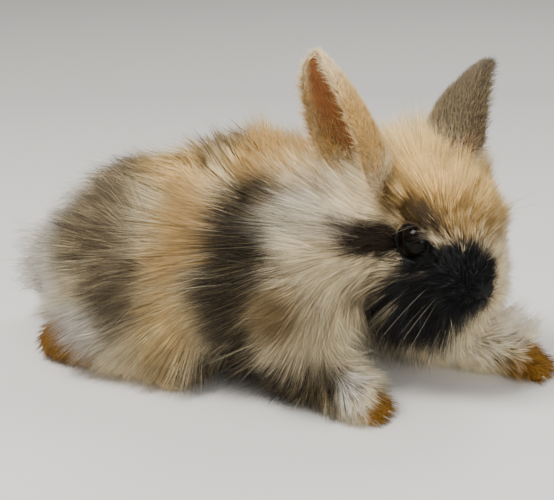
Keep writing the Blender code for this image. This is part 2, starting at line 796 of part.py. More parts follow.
def main():
    clear_scene()
    materials = make_materials()
    sides = (("right", -1), ("left", 1))
    eyes = [build_eye("eye_" + word, side) for word, side in sides]
    ears = [build_ear("ear_" + word, side) for word, side in sides]
    head, head_envelope = build_head(eyes, ears)
    tail, tail_envelope = build_tail("tail")
    fore, feet, hind = [], [], []
    limbs = []
    for word, side in sides:
        leg, leg_envelope = build_fore_leg("fore_leg_" + word, side, [head_envelope])
        foot, foot_envelope = build_hind_foot("hind_foot_" + word, side)
        around = limbs + [foot_envelope, tail_envelope, leg_envelope]
        haunch, haunch_envelope = build_hind_leg("hind_leg_" + word, side, around)
        fore.append(leg)
        feet.append(foot)
        hind.append(haunch)
        limbs += [leg_envelope, foot_envelope, haunch_envelope]
    neck, neck_envelope = build_neck("neck", [head_envelope] + ears + limbs)
    torso = build_torso("torso", [head_envelope, neck_envelope, tail_envelope] + ears + limbs)
    parts = {
        "eyes": eyes, "ears": ears, "head": [head], "hind": hind, "fore": fore,
        "feet": feet, "tail": [tail], "neck": [neck], "torso": [torso],
    }
    nodes = [node for group in parts.values() for node in group]
    for obj in [o for o in bpy.data.objects if o not in nodes]:
        bpy.data.objects.remove(obj, do_unlink=True)
    grow_coat(parts)
    looks = {
        "eyes": "eye_gloss", "ears": "coat_fawn", "head": "coat_smoke", "hind": "coat_smoke",
        "fore": "coat_ochre", "feet": "coat_ochre", "tail": "coat_white", "neck": "coat_white",
        "torso": "coat_cream",
    }
    for group, look in looks.items():
        for node in parts[group]:
            node.data.materials.clear()
            node.data.materials.append(materials[look])
    rest_origin(nodes)


if __name__ == "__main__":
    main()
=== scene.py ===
"""Lionhead rabbit kit: one skin, a mesh coat, eyes, lids, ears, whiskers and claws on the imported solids.

Sizes are in millimetres in the maker's frame: X the way the body faces, Y to its left, Z up, with the
floor at 0. The frame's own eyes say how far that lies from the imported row, and each mesh is placed in
metres by it.
"""

import logging
import math
from dataclasses import dataclass
from enum import Enum
from typing import Sequence

import bmesh
import bpy
import numpy as np
from bmesh.types import BMesh
from bpy.types import Material, Mesh, Node, NodeSocket, NodeTree, Object
from mathutils import Matrix, Vector
from mathutils.bvhtree import BVHTree
from mathutils.kdtree import KDTree
from numpy.random import Generator

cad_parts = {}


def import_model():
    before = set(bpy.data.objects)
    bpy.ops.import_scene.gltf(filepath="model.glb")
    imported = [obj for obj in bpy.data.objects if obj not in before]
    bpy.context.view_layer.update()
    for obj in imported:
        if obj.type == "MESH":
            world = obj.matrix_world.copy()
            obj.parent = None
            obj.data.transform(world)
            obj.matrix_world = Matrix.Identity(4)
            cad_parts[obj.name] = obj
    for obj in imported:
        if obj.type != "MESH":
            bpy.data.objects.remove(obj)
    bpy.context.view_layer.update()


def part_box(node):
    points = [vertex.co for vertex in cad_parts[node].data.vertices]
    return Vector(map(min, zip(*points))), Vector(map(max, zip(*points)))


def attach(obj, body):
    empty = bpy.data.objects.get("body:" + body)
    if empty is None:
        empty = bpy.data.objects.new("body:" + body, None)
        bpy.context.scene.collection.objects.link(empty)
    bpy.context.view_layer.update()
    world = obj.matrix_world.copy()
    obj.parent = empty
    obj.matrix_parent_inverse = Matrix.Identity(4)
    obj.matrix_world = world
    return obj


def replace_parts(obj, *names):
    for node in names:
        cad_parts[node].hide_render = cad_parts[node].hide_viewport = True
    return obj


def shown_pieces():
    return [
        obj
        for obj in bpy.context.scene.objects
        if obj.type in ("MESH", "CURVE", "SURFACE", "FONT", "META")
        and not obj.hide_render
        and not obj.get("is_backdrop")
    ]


LOG = logging.getLogger("rabbit")
MM = 0.001
# Hair is never darker or paler than this, and none stands in this box of the head's frame.
SHADE_RANGE = (0.002, 0.95)
BARE_NOSE = ((22.5, -2.6, -7.0), (math.inf, 2.6, -2.2))
Point = tuple[float, float, float]


class Side(Enum):
    """The two sides of the animal, with the sign of Y."""

    RIGHT = -1
    LEFT = 1

    @property
    def word(self) -> str:
        """The side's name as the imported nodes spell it."""
        return self.name.lower()


def sided(place: Point, side: Side) -> Vector:
    """The place on one side of the animal."""
    return Vector((place[0], place[1] * side.value, place[2]))


@dataclass(frozen=True)
class BodyPlan:
    """Where the head, eyes and paws are, as the solids have them."""

    head_centre: Point = (49.2, 5.6, 47.6)
    head_yaw: float = math.radians(35)
    head_pitch: float = math.radians(15)
    eye_centre: Point = (6.0, 11.4, 3.6)
    eye_radius: float = 6.0
    eye_outwards: Point = (0.32, 1.0, 0.12)
    eye_along: Point = (0.95, -0.3, -0.25)
    lid_opening: tuple[float, float] = (5.1, 4.8)
    lid_wall: float = 0.75
    lid_reach: float = 9.5
    lid_depth: float = 1.2
    hind_foot_y: float = 26.0
    fore_paw_y: float = 25.0
    left_reach: float = 35.0

    def head(self) -> Matrix:
        """The matrix from the head's forwards, left and up to the maker's frame.

        Returns:
            The matrix, in millimetres.
        """
        cos_pitch = math.cos(self.head_pitch)
        forwards = Vector((
            cos_pitch * math.cos(self.head_yaw),
            -cos_pitch * math.sin(self.head_yaw),
            -math.sin(self.head_pitch),
        ))
        left = Vector((math.sin(self.head_yaw), math.cos(self.head_yaw), 0))
        frame = Matrix((forwards, left, forwards.cross(left))).transposed().to_4x4()
        frame.translation = Vector(self.head_centre)
        return frame

    def eye_axes(self, side: Side) -> tuple[Vector, Vector, Vector]:
        """The way an eye looks, the line of its lids and the way across them, in the head's frame.

        Args:
            side: Which side of the animal.

        Returns:
            Three directions of length one.
        """
        outwards = sided(self.eye_outwards, side).normalized()
        along = sided(self.eye_along, side)
        along = (along - outwards * along.dot(outwards)).normalized()
        return outwards, along, outwards.cross(along) * side.value

    def origin(self) -> Vector:
        """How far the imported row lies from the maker's frame, read from the right eye's box.

        Returns:
            The offset in millimetres.
        """
        low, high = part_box("eye_right")
        expected = self.head() @ sided(self.eye_centre, Side.RIGHT)
        return (low + high) / (2 * MM) - expected


PLAN = BodyPlan()
HEAD = PLAN.head()
HEAD_TURN = np.array(HEAD.to_3x3())
HEAD_PLACE = np.array(HEAD.translation)


def to_head(points: np.ndarray) -> np.ndarray:
    """Places in the maker's frame as forwards, left and up of the head."""
    return (points - HEAD_PLACE) @ HEAD_TURN


def from_head(points: np.ndarray) -> np.ndarray:
    """Places in the head's frame as places in the maker's frame."""
    return points @ HEAD_TURN.T + HEAD_PLACE


def unit(vectors: np.ndarray) -> np.ndarray:
    """The vectors at length one."""
    return vectors / np.maximum(np.linalg.norm(vectors, axis=-1, keepdims=True), 1e-9)


def flatten(vectors: np.ndarray, normals: np.ndarray) -> np.ndarray:
    """The directions laid into the surface."""
    return unit(vectors - normals * np.sum(vectors * normals, axis=-1, keepdims=True))


def waves(points: np.ndarray, length: float, seed: int) -> np.ndarray:
    """Smooth noise from about -1 to 1.

    Args:
        points: Places in millimetres.
        length: About how far apart its crests lie.
        seed: Which pattern.

    Returns:
        One value for each place.
    """
    rng = np.random.default_rng(seed)
    total = np.zeros(len(points))
    for _ in range(6):
        way = rng.normal(size=3)
        way *= 2 * math.pi / (length * rng.uniform(0.7, 1.5) * np.linalg.norm(way))
        total += np.sin(points @ way + rng.uniform(0, 2 * math.pi))
    return total / 2.6


@dataclass(frozen=True)
class Spread:
    """How much the hairs differ: by chance, and in slow waves over the coat.

    Each wave has its amount, the length between its crests and the number of its pattern.
    """

    chance: float
    slow: tuple[tuple[float, float, int], ...]

    def at(self, draws: np.ndarray, spots: np.ndarray) -> np.ndarray:
        """The difference for each hair, from one normal draw for it and its place."""
        slow = sum(amount * waves(spots, length, seed) for amount, length, seed in self.slow)
        return self.chance * draws + slow


def ease(low: float, high: float, values: np.ndarray) -> np.ndarray:
    """A soft step from 0 at low to 1 at high."""
    share = np.clip((values - low) / (high - low), 0, 1)
    return share * share * (3 - 2 * share)


@dataclass(frozen=True)
class HairColour:
    """Linear colours of one kind of hair, from root to tip, and of the few odd hairs among it, which in the
    black mask are painted sheen. The root is darker partly by the hair's own colour and partly as painted
    shade deep in the coat.
    """

    root: Point
    shaft: Point
    tip: Point
    stray_shaft: Point
    stray_tip: Point
    strays: float


class Hair(Enum):
    """The kinds of hair in the coat."""

    CREAM = HairColour(
        (.50, .37, .22), (.88, .71, .43), (.93, .79, .53),
        (.58, .40, .19), (.45, .30, .13), .16,
    )
    WHITE = HairColour(
        (.56, .50, .42), (.86, .80, .71), (.90, .85, .77),
        (.48, .39, .28), (.30, .24, .17), .10,
    )
    SILVER = HairColour(
        (.44, .38, .30), (.80, .72, .57), (.82, .74, .60),
        (.38, .31, .21), (.10, .082, .06), .24,
    )
    BLONDE = HairColour(
        (.38, .21, .055), (.84, .54, .18), (.92, .64, .27),
        (.36, .20, .045), (.26, .14, .03), .28,
    )
    ORANGE = HairColour(
        (.32, .18, .06), (.64, .39, .12), (.68, .44, .16),
        (.88, .68, .35), (.28, .16, .045), .30,
    )
    GOLD = HairColour(
        (.10, .055, .015), (.27, .15, .03), (.17, .095, .02),
        (.55, .35, .11), (.30, .17, .04), .22,
    )
    TAN = HairColour(
        (.16, .105, .05), (.33, .21, .085), (.17, .11, .04),
        (.66, .50, .27), (.46, .33, .15), .30,
    )
    SMOKE = HairColour(
        (.13, .10, .065), (.23, .175, .10), (.075, .057, .033),
        (.62, .49, .29), (.46, .36, .20), .33,
    )
    BLACK = HairColour(
        (.032, .024, .014), (.045, .034, .019), (.020, .015, .009),
        (.34, .255, .13), (.22, .16, .078), .32,
    )
    # The pale blue-grey hairs of the black mask are painted sheen on the black hair.
    MASK = HairColour(
        (.004, .004, .004), (.005, .005, .0055), (.004, .004, .0045),
        (.070, .072, .082), (.040, .041, .047), .24,
    )
    UMBER = HairColour(
        (.02, .012, .006), (.03, .018, .009), (.018, .010, .005),
        (.16, .095, .04), (.05, .03, .013), .10,
    )
    OCHRE = HairColour(
        (.12, .05, .006), (.29, .135, .009), (.33, .165, .014),
        (.16, .065, .005), (.11, .045, .004), .28,
    )
    AGOUTI = HairColour(
        (.11, .09, .06), (.24, .19, .115), (.055, .044, .028),
        (.52, .38, .19), (.32, .23, .11), .38,
    )


@dataclass(frozen=True)
class Patch:
    """One soft-edged mark of the coat, an ellipsoid in the maker's frame or the head's."""

    hair: Hair
    centre: Point
    radii: Point
    soft: float = 0.3
    in_head: bool = False
    both: bool = False
    share: float = 1.0

    def weight(self, points: np.ndarray, local: np.ndarray, ragged: np.ndarray) -> np.ndarray:
        """How far each place takes this mark's hair, from 0 to 1.

        Args:
            points: Places in the maker's frame.
            local: The same places in the head's frame.
            ragged: How far the mark's edge frays at each.

        Returns:
            One share for each place.
        """
        places = (local if self.in_head else points).copy()
        if self.both:
            places[:, 1] = -np.abs(places[:, 1])
        reach = np.linalg.norm((places - np.array(self.centre)) / np.array(self.radii), axis=1)
        return self.share * (1 - ease(1 - self.soft, 1 + self.soft, reach + ragged * self.soft / 0.3))


@dataclass(frozen=True)
class Markings:
    """The marks of the coat, each laid over those before it."""

    patches: tuple[Patch, ...] = (
        Patch(Hair.WHITE, (-82, 0, 34), (29, 54, 36), 0.25),
        Patch(Hair.WHITE, (-56, -40, 12), (14, 14, 11), 0.3, both=True),
        Patch(Hair.SMOKE, (-49, -23, 46), (16, 21, 18), 0.24, both=True),
        Patch(Hair.SMOKE, (-38, -31, 31), (12, 16, 17), 0.3, both=True),
        Patch(Hair.SMOKE, (-50, -2, 58), (15, 12, 8), 0.3),
        Patch(Hair.SMOKE, (-80, -20, 26), (8, 10, 6), 0.5, share=0.7),
        Patch(Hair.BLONDE, (-30, -6, 66), (17, 20, 9), 0.35, share=0.8),
        Patch(Hair.ORANGE, (-20, -24, 48), (9, 22, 22), 0.3, both=True, share=0.9),
        Patch(Hair.BLONDE, (-20, -36, 18), (11, 14, 17), 0.35, both=True, share=0.7),
        Patch(Hair.BLACK, (0, -24, 40), (11, 26, 36), 0.22, both=True),
        Patch(Hair.BLACK, (6, -22, 6), (36, 22, 10), 0.3),
        Patch(Hair.SMOKE, (0, 26, 6), (30, 20, 9), 0.3),
        Patch(Hair.SILVER, (20, -20, 58), (12, 24, 17), 0.3, both=True),
        Patch(Hair.CREAM, (27, -27, 38), (15, 18, 20), 0.3, both=True),
        Patch(Hair.TAN, (15, -33, 30), (9, 10, 8), 0.4, share=0.95),
        Patch(Hair.ORANGE, (-4, 2, 72), (18, 19, 13), 0.3),
        Patch(Hair.TAN, (-2, 2, 74), (17, 16, 10), 0.5, share=0.35),
        Patch(Hair.BLACK, (-19, -3, 70), (9, 13, 8), 0.4, share=0.8),
        Patch(Hair.WHITE, (40, 8, 26), (16, 18, 14), 0.3),
        Patch(Hair.WHITE, (58, 26, 20), (24, 16, 18), 0.3, share=0.6),
        Patch(Hair.BLACK, (27, -30, 11), (13, 11, 10), 0.3, share=0.8),
        Patch(Hair.WHITE, (38.5, -31, 9), (4.5, 8, 7.5), 0.3),
        Patch(Hair.OCHRE, (48.5, -26, 1.5), (7, 9, 6.5), 0.25),
        Patch(Hair.OCHRE, (80, 24, 3), (14, 12, 8), 0.25),
        Patch(Hair.OCHRE, (-61, -30, 5.5), (20, 12, 12.5), 0.25, both=True),
        Patch(Hair.BLONDE, (0, 0, 20), (24, 28, 16), 0.3, in_head=True),
        Patch(Hair.CREAM, (-11, -25, 8.5), (11, 8, 4.5), 0.4, in_head=True, both=True, share=0.8),
        Patch(Hair.CREAM, (10, 14, -8), (18, 14, 20), 0.3, in_head=True, share=0.75),
        Patch(Hair.SMOKE, (4, -24, -17), (6, 7, 10), 0.4, in_head=True, share=0.6),
        Patch(Hair.GOLD, (2, -13, 14), (10, 8, 6), 0.4, in_head=True, share=0.95),
        Patch(Hair.GOLD, (13, -2, 12.5), (9, 13, 7.5), 0.5, in_head=True, share=0.8),
        Patch(Hair.UMBER, (7, -12.5, 10.5), (8, 7.5, 6.5), 0.35, in_head=True, share=0.9),
        Patch(Hair.UMBER, (-3, -23, 0.5), (11, 14, 5.5), 0.3, in_head=True),
        Patch(Hair.MASK, (17, -5, 0.5), (13, 11.5, 10.5), 0.12, in_head=True),
        Patch(Hair.MASK, (9, -15, 1.5), (8, 8, 8), 0.18, in_head=True),
        Patch(Hair.MASK, (13, -11, -15), (15, 16, 15), 0.2, in_head=True),
        Patch(Hair.MASK, (22, -6, -6), (11, 12, 10), 0.15, in_head=True),
        Patch(Hair.MASK, (10, -12, -27), (13, 13, 12), 0.26, in_head=True),
        Patch(Hair.UMBER, (7, 15, 4), (8, 6, 7), 0.35, in_head=True, share=0.75),
        Patch(Hair.CREAM, (10.5, -12, 8.5), (4, 1.8, 1.1), 0.5, in_head=True, share=0.55),
    )
    base: Hair = Hair.CREAM
    ragged: float = 0.15

    def kinds(self, points: np.ndarray, jitter: np.ndarray) -> np.ndarray:
        """The share of each kind of hair at each place.

        Args:
            points: Places in millimetres.
            jitter: A value for each place that frays the edges of the marks.

        Returns:
            One row for each place and one column for each kind of hair.
        """
        order = list(Hair)
        shares = np.zeros((len(points), len(order)))
        shares[:, order.index(self.base)] = 1
        local = to_head(points)
        ragged = self.ragged * (0.7 * waves(points, 9, 3) + jitter)
        for patch in self.patches:
            weight = patch.weight(points, local, ragged)[:, None]
            shares *= 1 - weight
            shares[:, order.index(patch.hair)] += weight[:, 0]
        return shares


def hair_table(part: str) -> np.ndarray:
    """One named colour or number of every kind of hair, in the order of the kinds."""
    return np.array([getattr(kind.value, part) for kind in Hair])


MARKINGS = Markings()


def linked(name: str, data: bpy.types.ID) -> Object:
    """A new object in the scene.

    Args:
        name: Its name.
        data: What it shows.

    Returns:
        The object.
    """
    obj = bpy.data.objects.new(name, data)
    bpy.context.scene.collection.objects.link(obj)
    return obj


def evaluated(data: bpy.types.ID, *modifiers: tuple[str, dict]) -> Mesh:
    """The mesh or curve as a mesh with modifiers applied, each given by its type and settings.

    Args:
        data: The mesh or curve.
        modifiers: The type and the settings of each modifier.

    Returns:
        A new mesh.
    """
    obj = linked("blank", data)
    for kind, settings in modifiers:
        modifier = obj.modifiers.new(kind.lower(), kind)
        for key, value in settings.items():
            setattr(modifier, key, value)
    bpy.context.view_layer.update()
    graph = bpy.context.evaluated_depsgraph_get()
    made = bpy.data.meshes.new_from_object(obj.evaluated_get(graph), depsgraph=graph)
    bpy.data.objects.remove(obj, do_unlink=True)
    return made


def absorb(bm: BMesh, other: BMesh) -> None:
    """Adds the other bmesh to the first and frees it.

    Args:
        bm: Takes the shape.
        other: Gives the shape.
    """
    mesh = bpy.data.meshes.new("absorbed")
    other.to_mesh(mesh)
    other.free()
    bm.from_mesh(mesh)
    bpy.data.meshes.remove(mesh)


def settle(bm: BMesh, kept: int = 0) -> None:
    """Orders the faces after the first ones by their places, since bmesh makes them in no fixed order.

    Args:
        bm: Has its faces put in order.
        kept: How many of the first faces stay as they are.
    """
    loose = sorted(bm.faces[:][kept:], key=lambda face: [round(c, 4) for c in face.calc_center_median()])
    place = {face: kept + n for n, face in enumerate(loose)}
    bm.faces.index_update()
    bm.faces.sort(key=lambda face: place.get(face, face.index))


def tube_mesh(spots: Sequence[Vector], radius: float) -> Mesh:
    """A round ring through the spots, by way of a curve.

    Args:
        spots: The line of the ring.
        radius: Half the tube's thickness.

    Returns:
        The tube as a mesh.
    """
    curve = bpy.data.curves.new("tube", "CURVE")
    curve.dimensions = "3D"
    curve.bevel_depth = radius
    curve.bevel_resolution = 3
    spline = curve.splines.new("NURBS")
    spline.points.add(len(spots) - 1)
    for point, spot in zip(spline.points, spots):
        point.co = (*spot, 1)
    spline.use_cyclic_u = True
    spline.use_endpoint_u = False
    spline.resolution_u = 3
    return evaluated(curve)


class Workshop:
    """Turns shapes in millimetres into placed pieces of the model."""

    def __init__(self, shift: Vector) -> None:
        """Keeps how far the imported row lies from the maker's frame."""
        self.shift = np.array(shift)
        self.place = Matrix.Scale(MM, 4) @ Matrix.Translation(shift)

    def piece(self, mesh: Mesh, name: str, slot: str, material: Material) -> Object:
        """A new object with the mesh, riding on the body in the given finish.

        Args:
            mesh: The shape, already in metres in the row's frame.
            name: The piece's name.
            slot: A slot's name; not used.
            material: Its material.

        Returns:
            The object.
        """
        mesh.materials.clear()
        mesh.materials.append(material)
        obj = linked(name, mesh)
        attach(obj, "root")
        LOG.info("piece %s: %d faces", name, len(mesh.polygons))
        return obj

    def mesh_of(self, bm: BMesh, name: str) -> Mesh:
        """The bmesh, in millimetres, as a smooth mesh in metres, and frees it.

        Args:
            bm: The shape in millimetres.
            name: The mesh's name.

        Returns:
            The mesh.
        """
        bm.transform(self.place)
        mesh = bpy.data.meshes.new(name)
        bm.to_mesh(mesh)
        bm.free()
        mesh.shade_smooth()
        return mesh


class Wiring:
    """Adds nodes to a tree, with their settings and what feeds their inputs."""

    def __init__(self, tree: NodeTree) -> None:
        """Keeps the tree."""
        self.tree = tree

    def add(self, kind: str, feeds: dict | None = None, **settings: object) -> Node:
        """A new node, its kind given without the word ShaderNode.

        Args:
            kind: The node's type.
            feeds: What feeds its inputs.
            settings: The node's own settings.

        Returns:
            The node.
        """
        node = self.tree.nodes.new("ShaderNode" + kind)
        for key, value in settings.items():
            setattr(node, key, value)
        self.feed(node, feeds or {})
        return node

    def feed(self, node: Node, feeds: dict) -> None:
        """Links a socket, or sets a plain value, to each input named by its key.

        Args:
            node: The node to feed.
            feeds: A socket or a value for each input.
        """
        for key, value in feeds.items():
            if isinstance(value, NodeSocket):
                self.tree.links.new(value, node.inputs[key])
            else:
                node.inputs[key].default_value = value

    def ramp(self, factor: NodeSocket, *stops: tuple[float, Point]) -> NodeSocket:
        """A colour ramp with these stops, each a place and a colour.

        Args:
            factor: What picks the colour.
            stops: Places and colours, from low to high.

        Returns:
            The colour.
        """
        node = self.add("ValToRGB", {"Fac": factor})
        elements = node.color_ramp.elements
        for n, (place, colour) in enumerate(stops):
            element = elements[n] if n < len(elements) else elements.new(place)
            element.position = place
            element.color = (*colour, 1)
        return node.outputs["Color"]

    def noise(self, scale: float | NodeSocket, detail: float = 2.0) -> NodeSocket:
        """The value of a noise fixed to the object.

        Args:
            scale: How fine the noise is.
            detail: How many finer layers it has.

        Returns:
            The noise, from 0 to 1.
        """
        place = self.add("TexCoord")
        feeds = {"Scale": scale, "Detail": detail, "Vector": place.outputs["Object"]}
        return self.add("TexNoise", feeds).outputs["Fac"]


def new_material(name: str) -> tuple[Material, Wiring, Node]:
    """A material, its wiring and its shader.

    Args:
        name: The material's name.

    Returns:
        The material, with the wiring of its tree and the shader in it.
    """
    made = bpy.data.materials.new(name)
    made.use_nodes = True
    return made, Wiring(made.node_tree), made.node_tree.nodes["Principled BSDF"]


def uneven_hair() -> NodeTree:
    """The shared effect of uneven hair, made once: mottled colour, roughness and a fine height.

    Returns:
        The node group.
    """
    name = "uneven_hair"
    if name in bpy.data.node_groups:
        return bpy.data.node_groups[name]
    group = bpy.data.node_groups.new(name, "ShaderNodeTree")
    colour, number = "NodeSocketColor", "NodeSocketFloat"
    inputs = {"Colour": (0.5, 0.5, 0.5, 1.0), "Scale": 400.0, "Mottle": 0.2, "Roughness": 0.7}
    for key, value in inputs.items():
        kind = colour if key == "Colour" else number
        group.interface.new_socket(name=key, in_out="INPUT", socket_type=kind).default_value = value
    for key, kind in (("Colour", colour), ("Roughness", number), ("Height", number)):
        group.interface.new_socket(name=key, in_out="OUTPUT", socket_type=kind)
    wiring = Wiring(group)
    source = group.nodes.new("NodeGroupInput").outputs
    noise = wiring.noise(source["Scale"], 3.0)
    limits = {"From Min": 0.3, "From Max": 0.7, "To Min": -1.0, "To Max": 1.0, "Value": noise}
    spread = wiring.add("MapRange", limits).outputs["Result"]
    amount = wiring.add("Math", {0: spread, 1: source["Mottle"]}, operation="MULTIPLY").outputs["Value"]
    level = wiring.add("Math", {0: amount, 1: 1.0}, operation="ADD").outputs["Value"]
    shade = wiring.add("VectorMath", {0: source["Colour"], "Scale": level}, operation="SCALE")
    rough = wiring.add("Math", {0: amount, 1: 0.3, 2: source["Roughness"]}, operation="MULTIPLY_ADD")
    sink = {"Colour": shade.outputs["Vector"], "Roughness": rough.outputs["Value"], "Height": noise}
    wiring.feed(group.nodes.new("NodeGroupOutput"), sink)
    return group


@dataclass(frozen=True)
class HairFinish:
    """Hair or hairy skin that takes its colour from the mesh's own marking."""

    name: str
    roughness: float = 0.62
    mottle: float = 0.16
    scale: float = 260.0
    bump: float = 0.0
    bump_scale: float = 900.0

    def material(self) -> Material:
        """Builds the material.

        Returns:
            The material.
        """
        made, wiring, shader = new_material(self.name)
        marking = wiring.add("Attribute", attribute_name="marking").outputs["Color"]
        feeds = {"Colour": marking, "Scale": self.scale, "Mottle": self.mottle, "Roughness": self.roughness}
        uneven = wiring.add("Group", feeds, node_tree=uneven_hair()).outputs
        wiring.feed(shader, {
            "Base Color": uneven["Colour"],
            "Roughness": uneven["Roughness"],
            "Sheen Weight": 0.03,
            "Sheen Roughness": 0.5,
            "Specular IOR Level": 0.18,
        })
        if self.bump:
            fine = wiring.add("Group", {"Scale": self.bump_scale}, node_tree=uneven_hair())
            feeds = {"Distance": self.bump * MM, "Strength": 0.8, "Height": fine.outputs["Height"]}
            wiring.feed(shader, {"Normal": wiring.add("Bump", feeds).outputs["Normal"]})
        return made


@dataclass(frozen=True)
class EyeFinish:
    """Dark brown iris round a wide pupil under a wet cornea."""

    name: str = "wet_eye"
    pupil: Point = (0.0015, 0.0012, 0.0012)
    iris: Point = (0.006, 0.003, 0.002)
    white: Point = (0.008, 0.005, 0.005)

    def material(self) -> Material:
        """Builds the material.

        Returns:
            The material.
        """
        made, wiring, shader = new_material(self.name)
        turn = wiring.add("Attribute", attribute_name="turn").outputs["Fac"]
        fibres = wiring.noise(1400.0)
        edge = wiring.add("Math", {0: fibres, 1: 0.05, 2: turn}, operation="MULTIPLY_ADD").outputs["Value"]
        zones = (0.24, self.pupil), (0.30, self.iris), (0.50, self.pupil), (0.62, self.white)
        wet = wiring.add("MapRange", {"To Min": 0.04, "To Max": 0.09, "Value": fibres})
        wiring.feed(shader, {
            "Base Color": wiring.ramp(edge, *zones),
            "Roughness": wet.outputs["Result"],
            "Coat Weight": 0.10,
            "Coat Roughness": 0.03,
            "Specular IOR Level": 0.05,
        })
        return made


@dataclass(frozen=True)
class PlainFinish:
    """Bare skin or horn: two close colours in soft noise, with a fine bump."""

    name: str
    low: Point
    high: Point
    roughness: float = 0.6
    specular: float = 0.5

    def material(self) -> Material:
        """Builds the material.

        Returns:
            The material.
        """
        made, wiring, shader = new_material(self.name)
        noise = wiring.noise(300.0, 5.0)
        limits = {"To Min": self.roughness - 0.08, "To Max": self.roughness + 0.08, "Value": noise}
        bump = wiring.add("Bump", {"Distance": 0.05 * MM, "Height": noise})
        wiring.feed(shader, {
            "Base Color": wiring.ramp(noise, (0.35, self.low), (0.65, self.high)),
            "Roughness": wiring.add("MapRange", limits).outputs["Result"],
            "Normal": bump.outputs["Normal"],
            "Specular IOR Level": self.specular,
        })
        return made


@dataclass(frozen=True)
class Ball:
    """An ellipsoid of flesh."""

    centre: Point
    radii: Point
    in_head: bool = False

    def add(self, bm: BMesh) -> None:
        """Adds it to the bmesh.

        Args:
            bm: Takes the ball.
        """
        frame = HEAD if self.in_head else Matrix.Identity(4)
        place = frame @ Matrix.Translation(self.centre) @ Matrix.Diagonal((*self.radii, 1))
        bmesh.ops.create_icosphere(bm, subdivisions=4, radius=1, matrix=place)


@dataclass(frozen=True)
class Limb:
    """The hull of two balls, for a length of limb."""

    start: Point
    start_radius: float
    end: Point
    end_radius: float
    in_head: bool = False

    def add(self, bm: BMesh) -> None:
        """Adds it to the bmesh.

        Args:
            bm: Takes the limb.
        """
        frame = HEAD if self.in_head else Matrix.Identity(4)
        hull = bmesh.new()
        for centre, radius in ((self.start, self.start_radius), (self.end, self.end_radius)):
            place = frame @ Matrix.Translation(centre) @ Matrix.Scale(radius, 4)
            bmesh.ops.create_icosphere(hull, subdivisions=3, radius=1, matrix=place)
        made = bmesh.ops.convex_hull(hull, input=hull.verts)
        spare = {v for v in made["geom_interior"] + made["geom_unused"] if isinstance(v, bmesh.types.BMVert)}
        bmesh.ops.delete(hull, geom=list(spare), context="VERTS")
        absorb(bm, hull)


def toe_ends(heel: Vector, paw: Vector, spread: float, length: float) -> list[tuple[Vector, Vector]]:
    """Base and tip of each of the four toes fanned out in front of a paw.

    Args:
        heel: Where the foot comes from.
        paw: The middle of the paw.
        spread: How far the tips lie apart.
        length: How far the tips lie ahead of the paw.

    Returns:
        A base and a tip for each toe.
    """
    ahead = (paw - heel).to_2d().to_3d().normalized()
    across = Vector((-ahead.y, ahead.x, 0))
    ends = []
    for share in (-1.5, -0.5, 0.5, 1.5):
        base = paw + across * (share * spread * 0.7)
        tip = paw + across * (share * spread) + ahead * (length - 0.9 * abs(share))
        ends.append((base, tip))
    return ends


@dataclass(frozen=True)
class Feet:
    """The paws and their toes, with the flats that they stand on."""

    flat: float = 0.7
    fore_radius: float = 5.6
    fore_toe: float = 2.6
    hind_toe: float = 2.7

    def fore(self, side: Side) -> tuple[Vector, Vector]:
        """Wrist and paw of a foreleg.

        Args:
            side: Which side of the animal.

        Returns:
            Two places.
        """
        reach = PLAN.left_reach if side is Side.LEFT else 0.0
        y = PLAN.fore_paw_y * side.value
        wrist = Vector((22 + 0.6 * reach, 0.95 * y, 10))
        return wrist, Vector((38 + reach, y, self.fore_radius - self.flat))

    def elbow(self, side: Side) -> Vector:
        """Elbow of a foreleg."""
        reach = PLAN.left_reach if side is Side.LEFT else 0.0
        return Vector((14 + 0.2 * reach, 0.8 * PLAN.fore_paw_y * side.value, 22))

    def hind(self, side: Side) -> tuple[Vector, Vector, Vector]:
        """Heel, middle and paw of a hind foot.

        Args:
            side: Which side of the animal.

        Returns:
            Three places.
        """
        s = side.value
        y = PLAN.hind_foot_y * s
        return Vector((-65, y, 6)), Vector((-48, y + s, 4.8)), Vector((-26, y + 2 * s, 4.6))

    def toes(self, side: Side) -> list[tuple[Vector, Vector, float]]:
        """Base, tip and radius of every toe on one side.

        Args:
            side: Which side of the animal.

        Returns:
            One row for each toe, fore and hind.
        """
        wrist, paw = self.fore(side)
        heel, _, ball = self.hind(side)
        fore = [(base, tip, self.fore_toe) for base, tip in toe_ends(wrist, paw, 3.3, 6.5)]
        hind = [(base, tip, self.hind_toe) for base, tip in toe_ends(heel, ball, 3.1, 7.0)]
        found = []
        for base, tip, radius in fore + hind:
            tip.z = radius - self.flat
            found.append((base, tip, radius))
        return found


FEET = Feet()


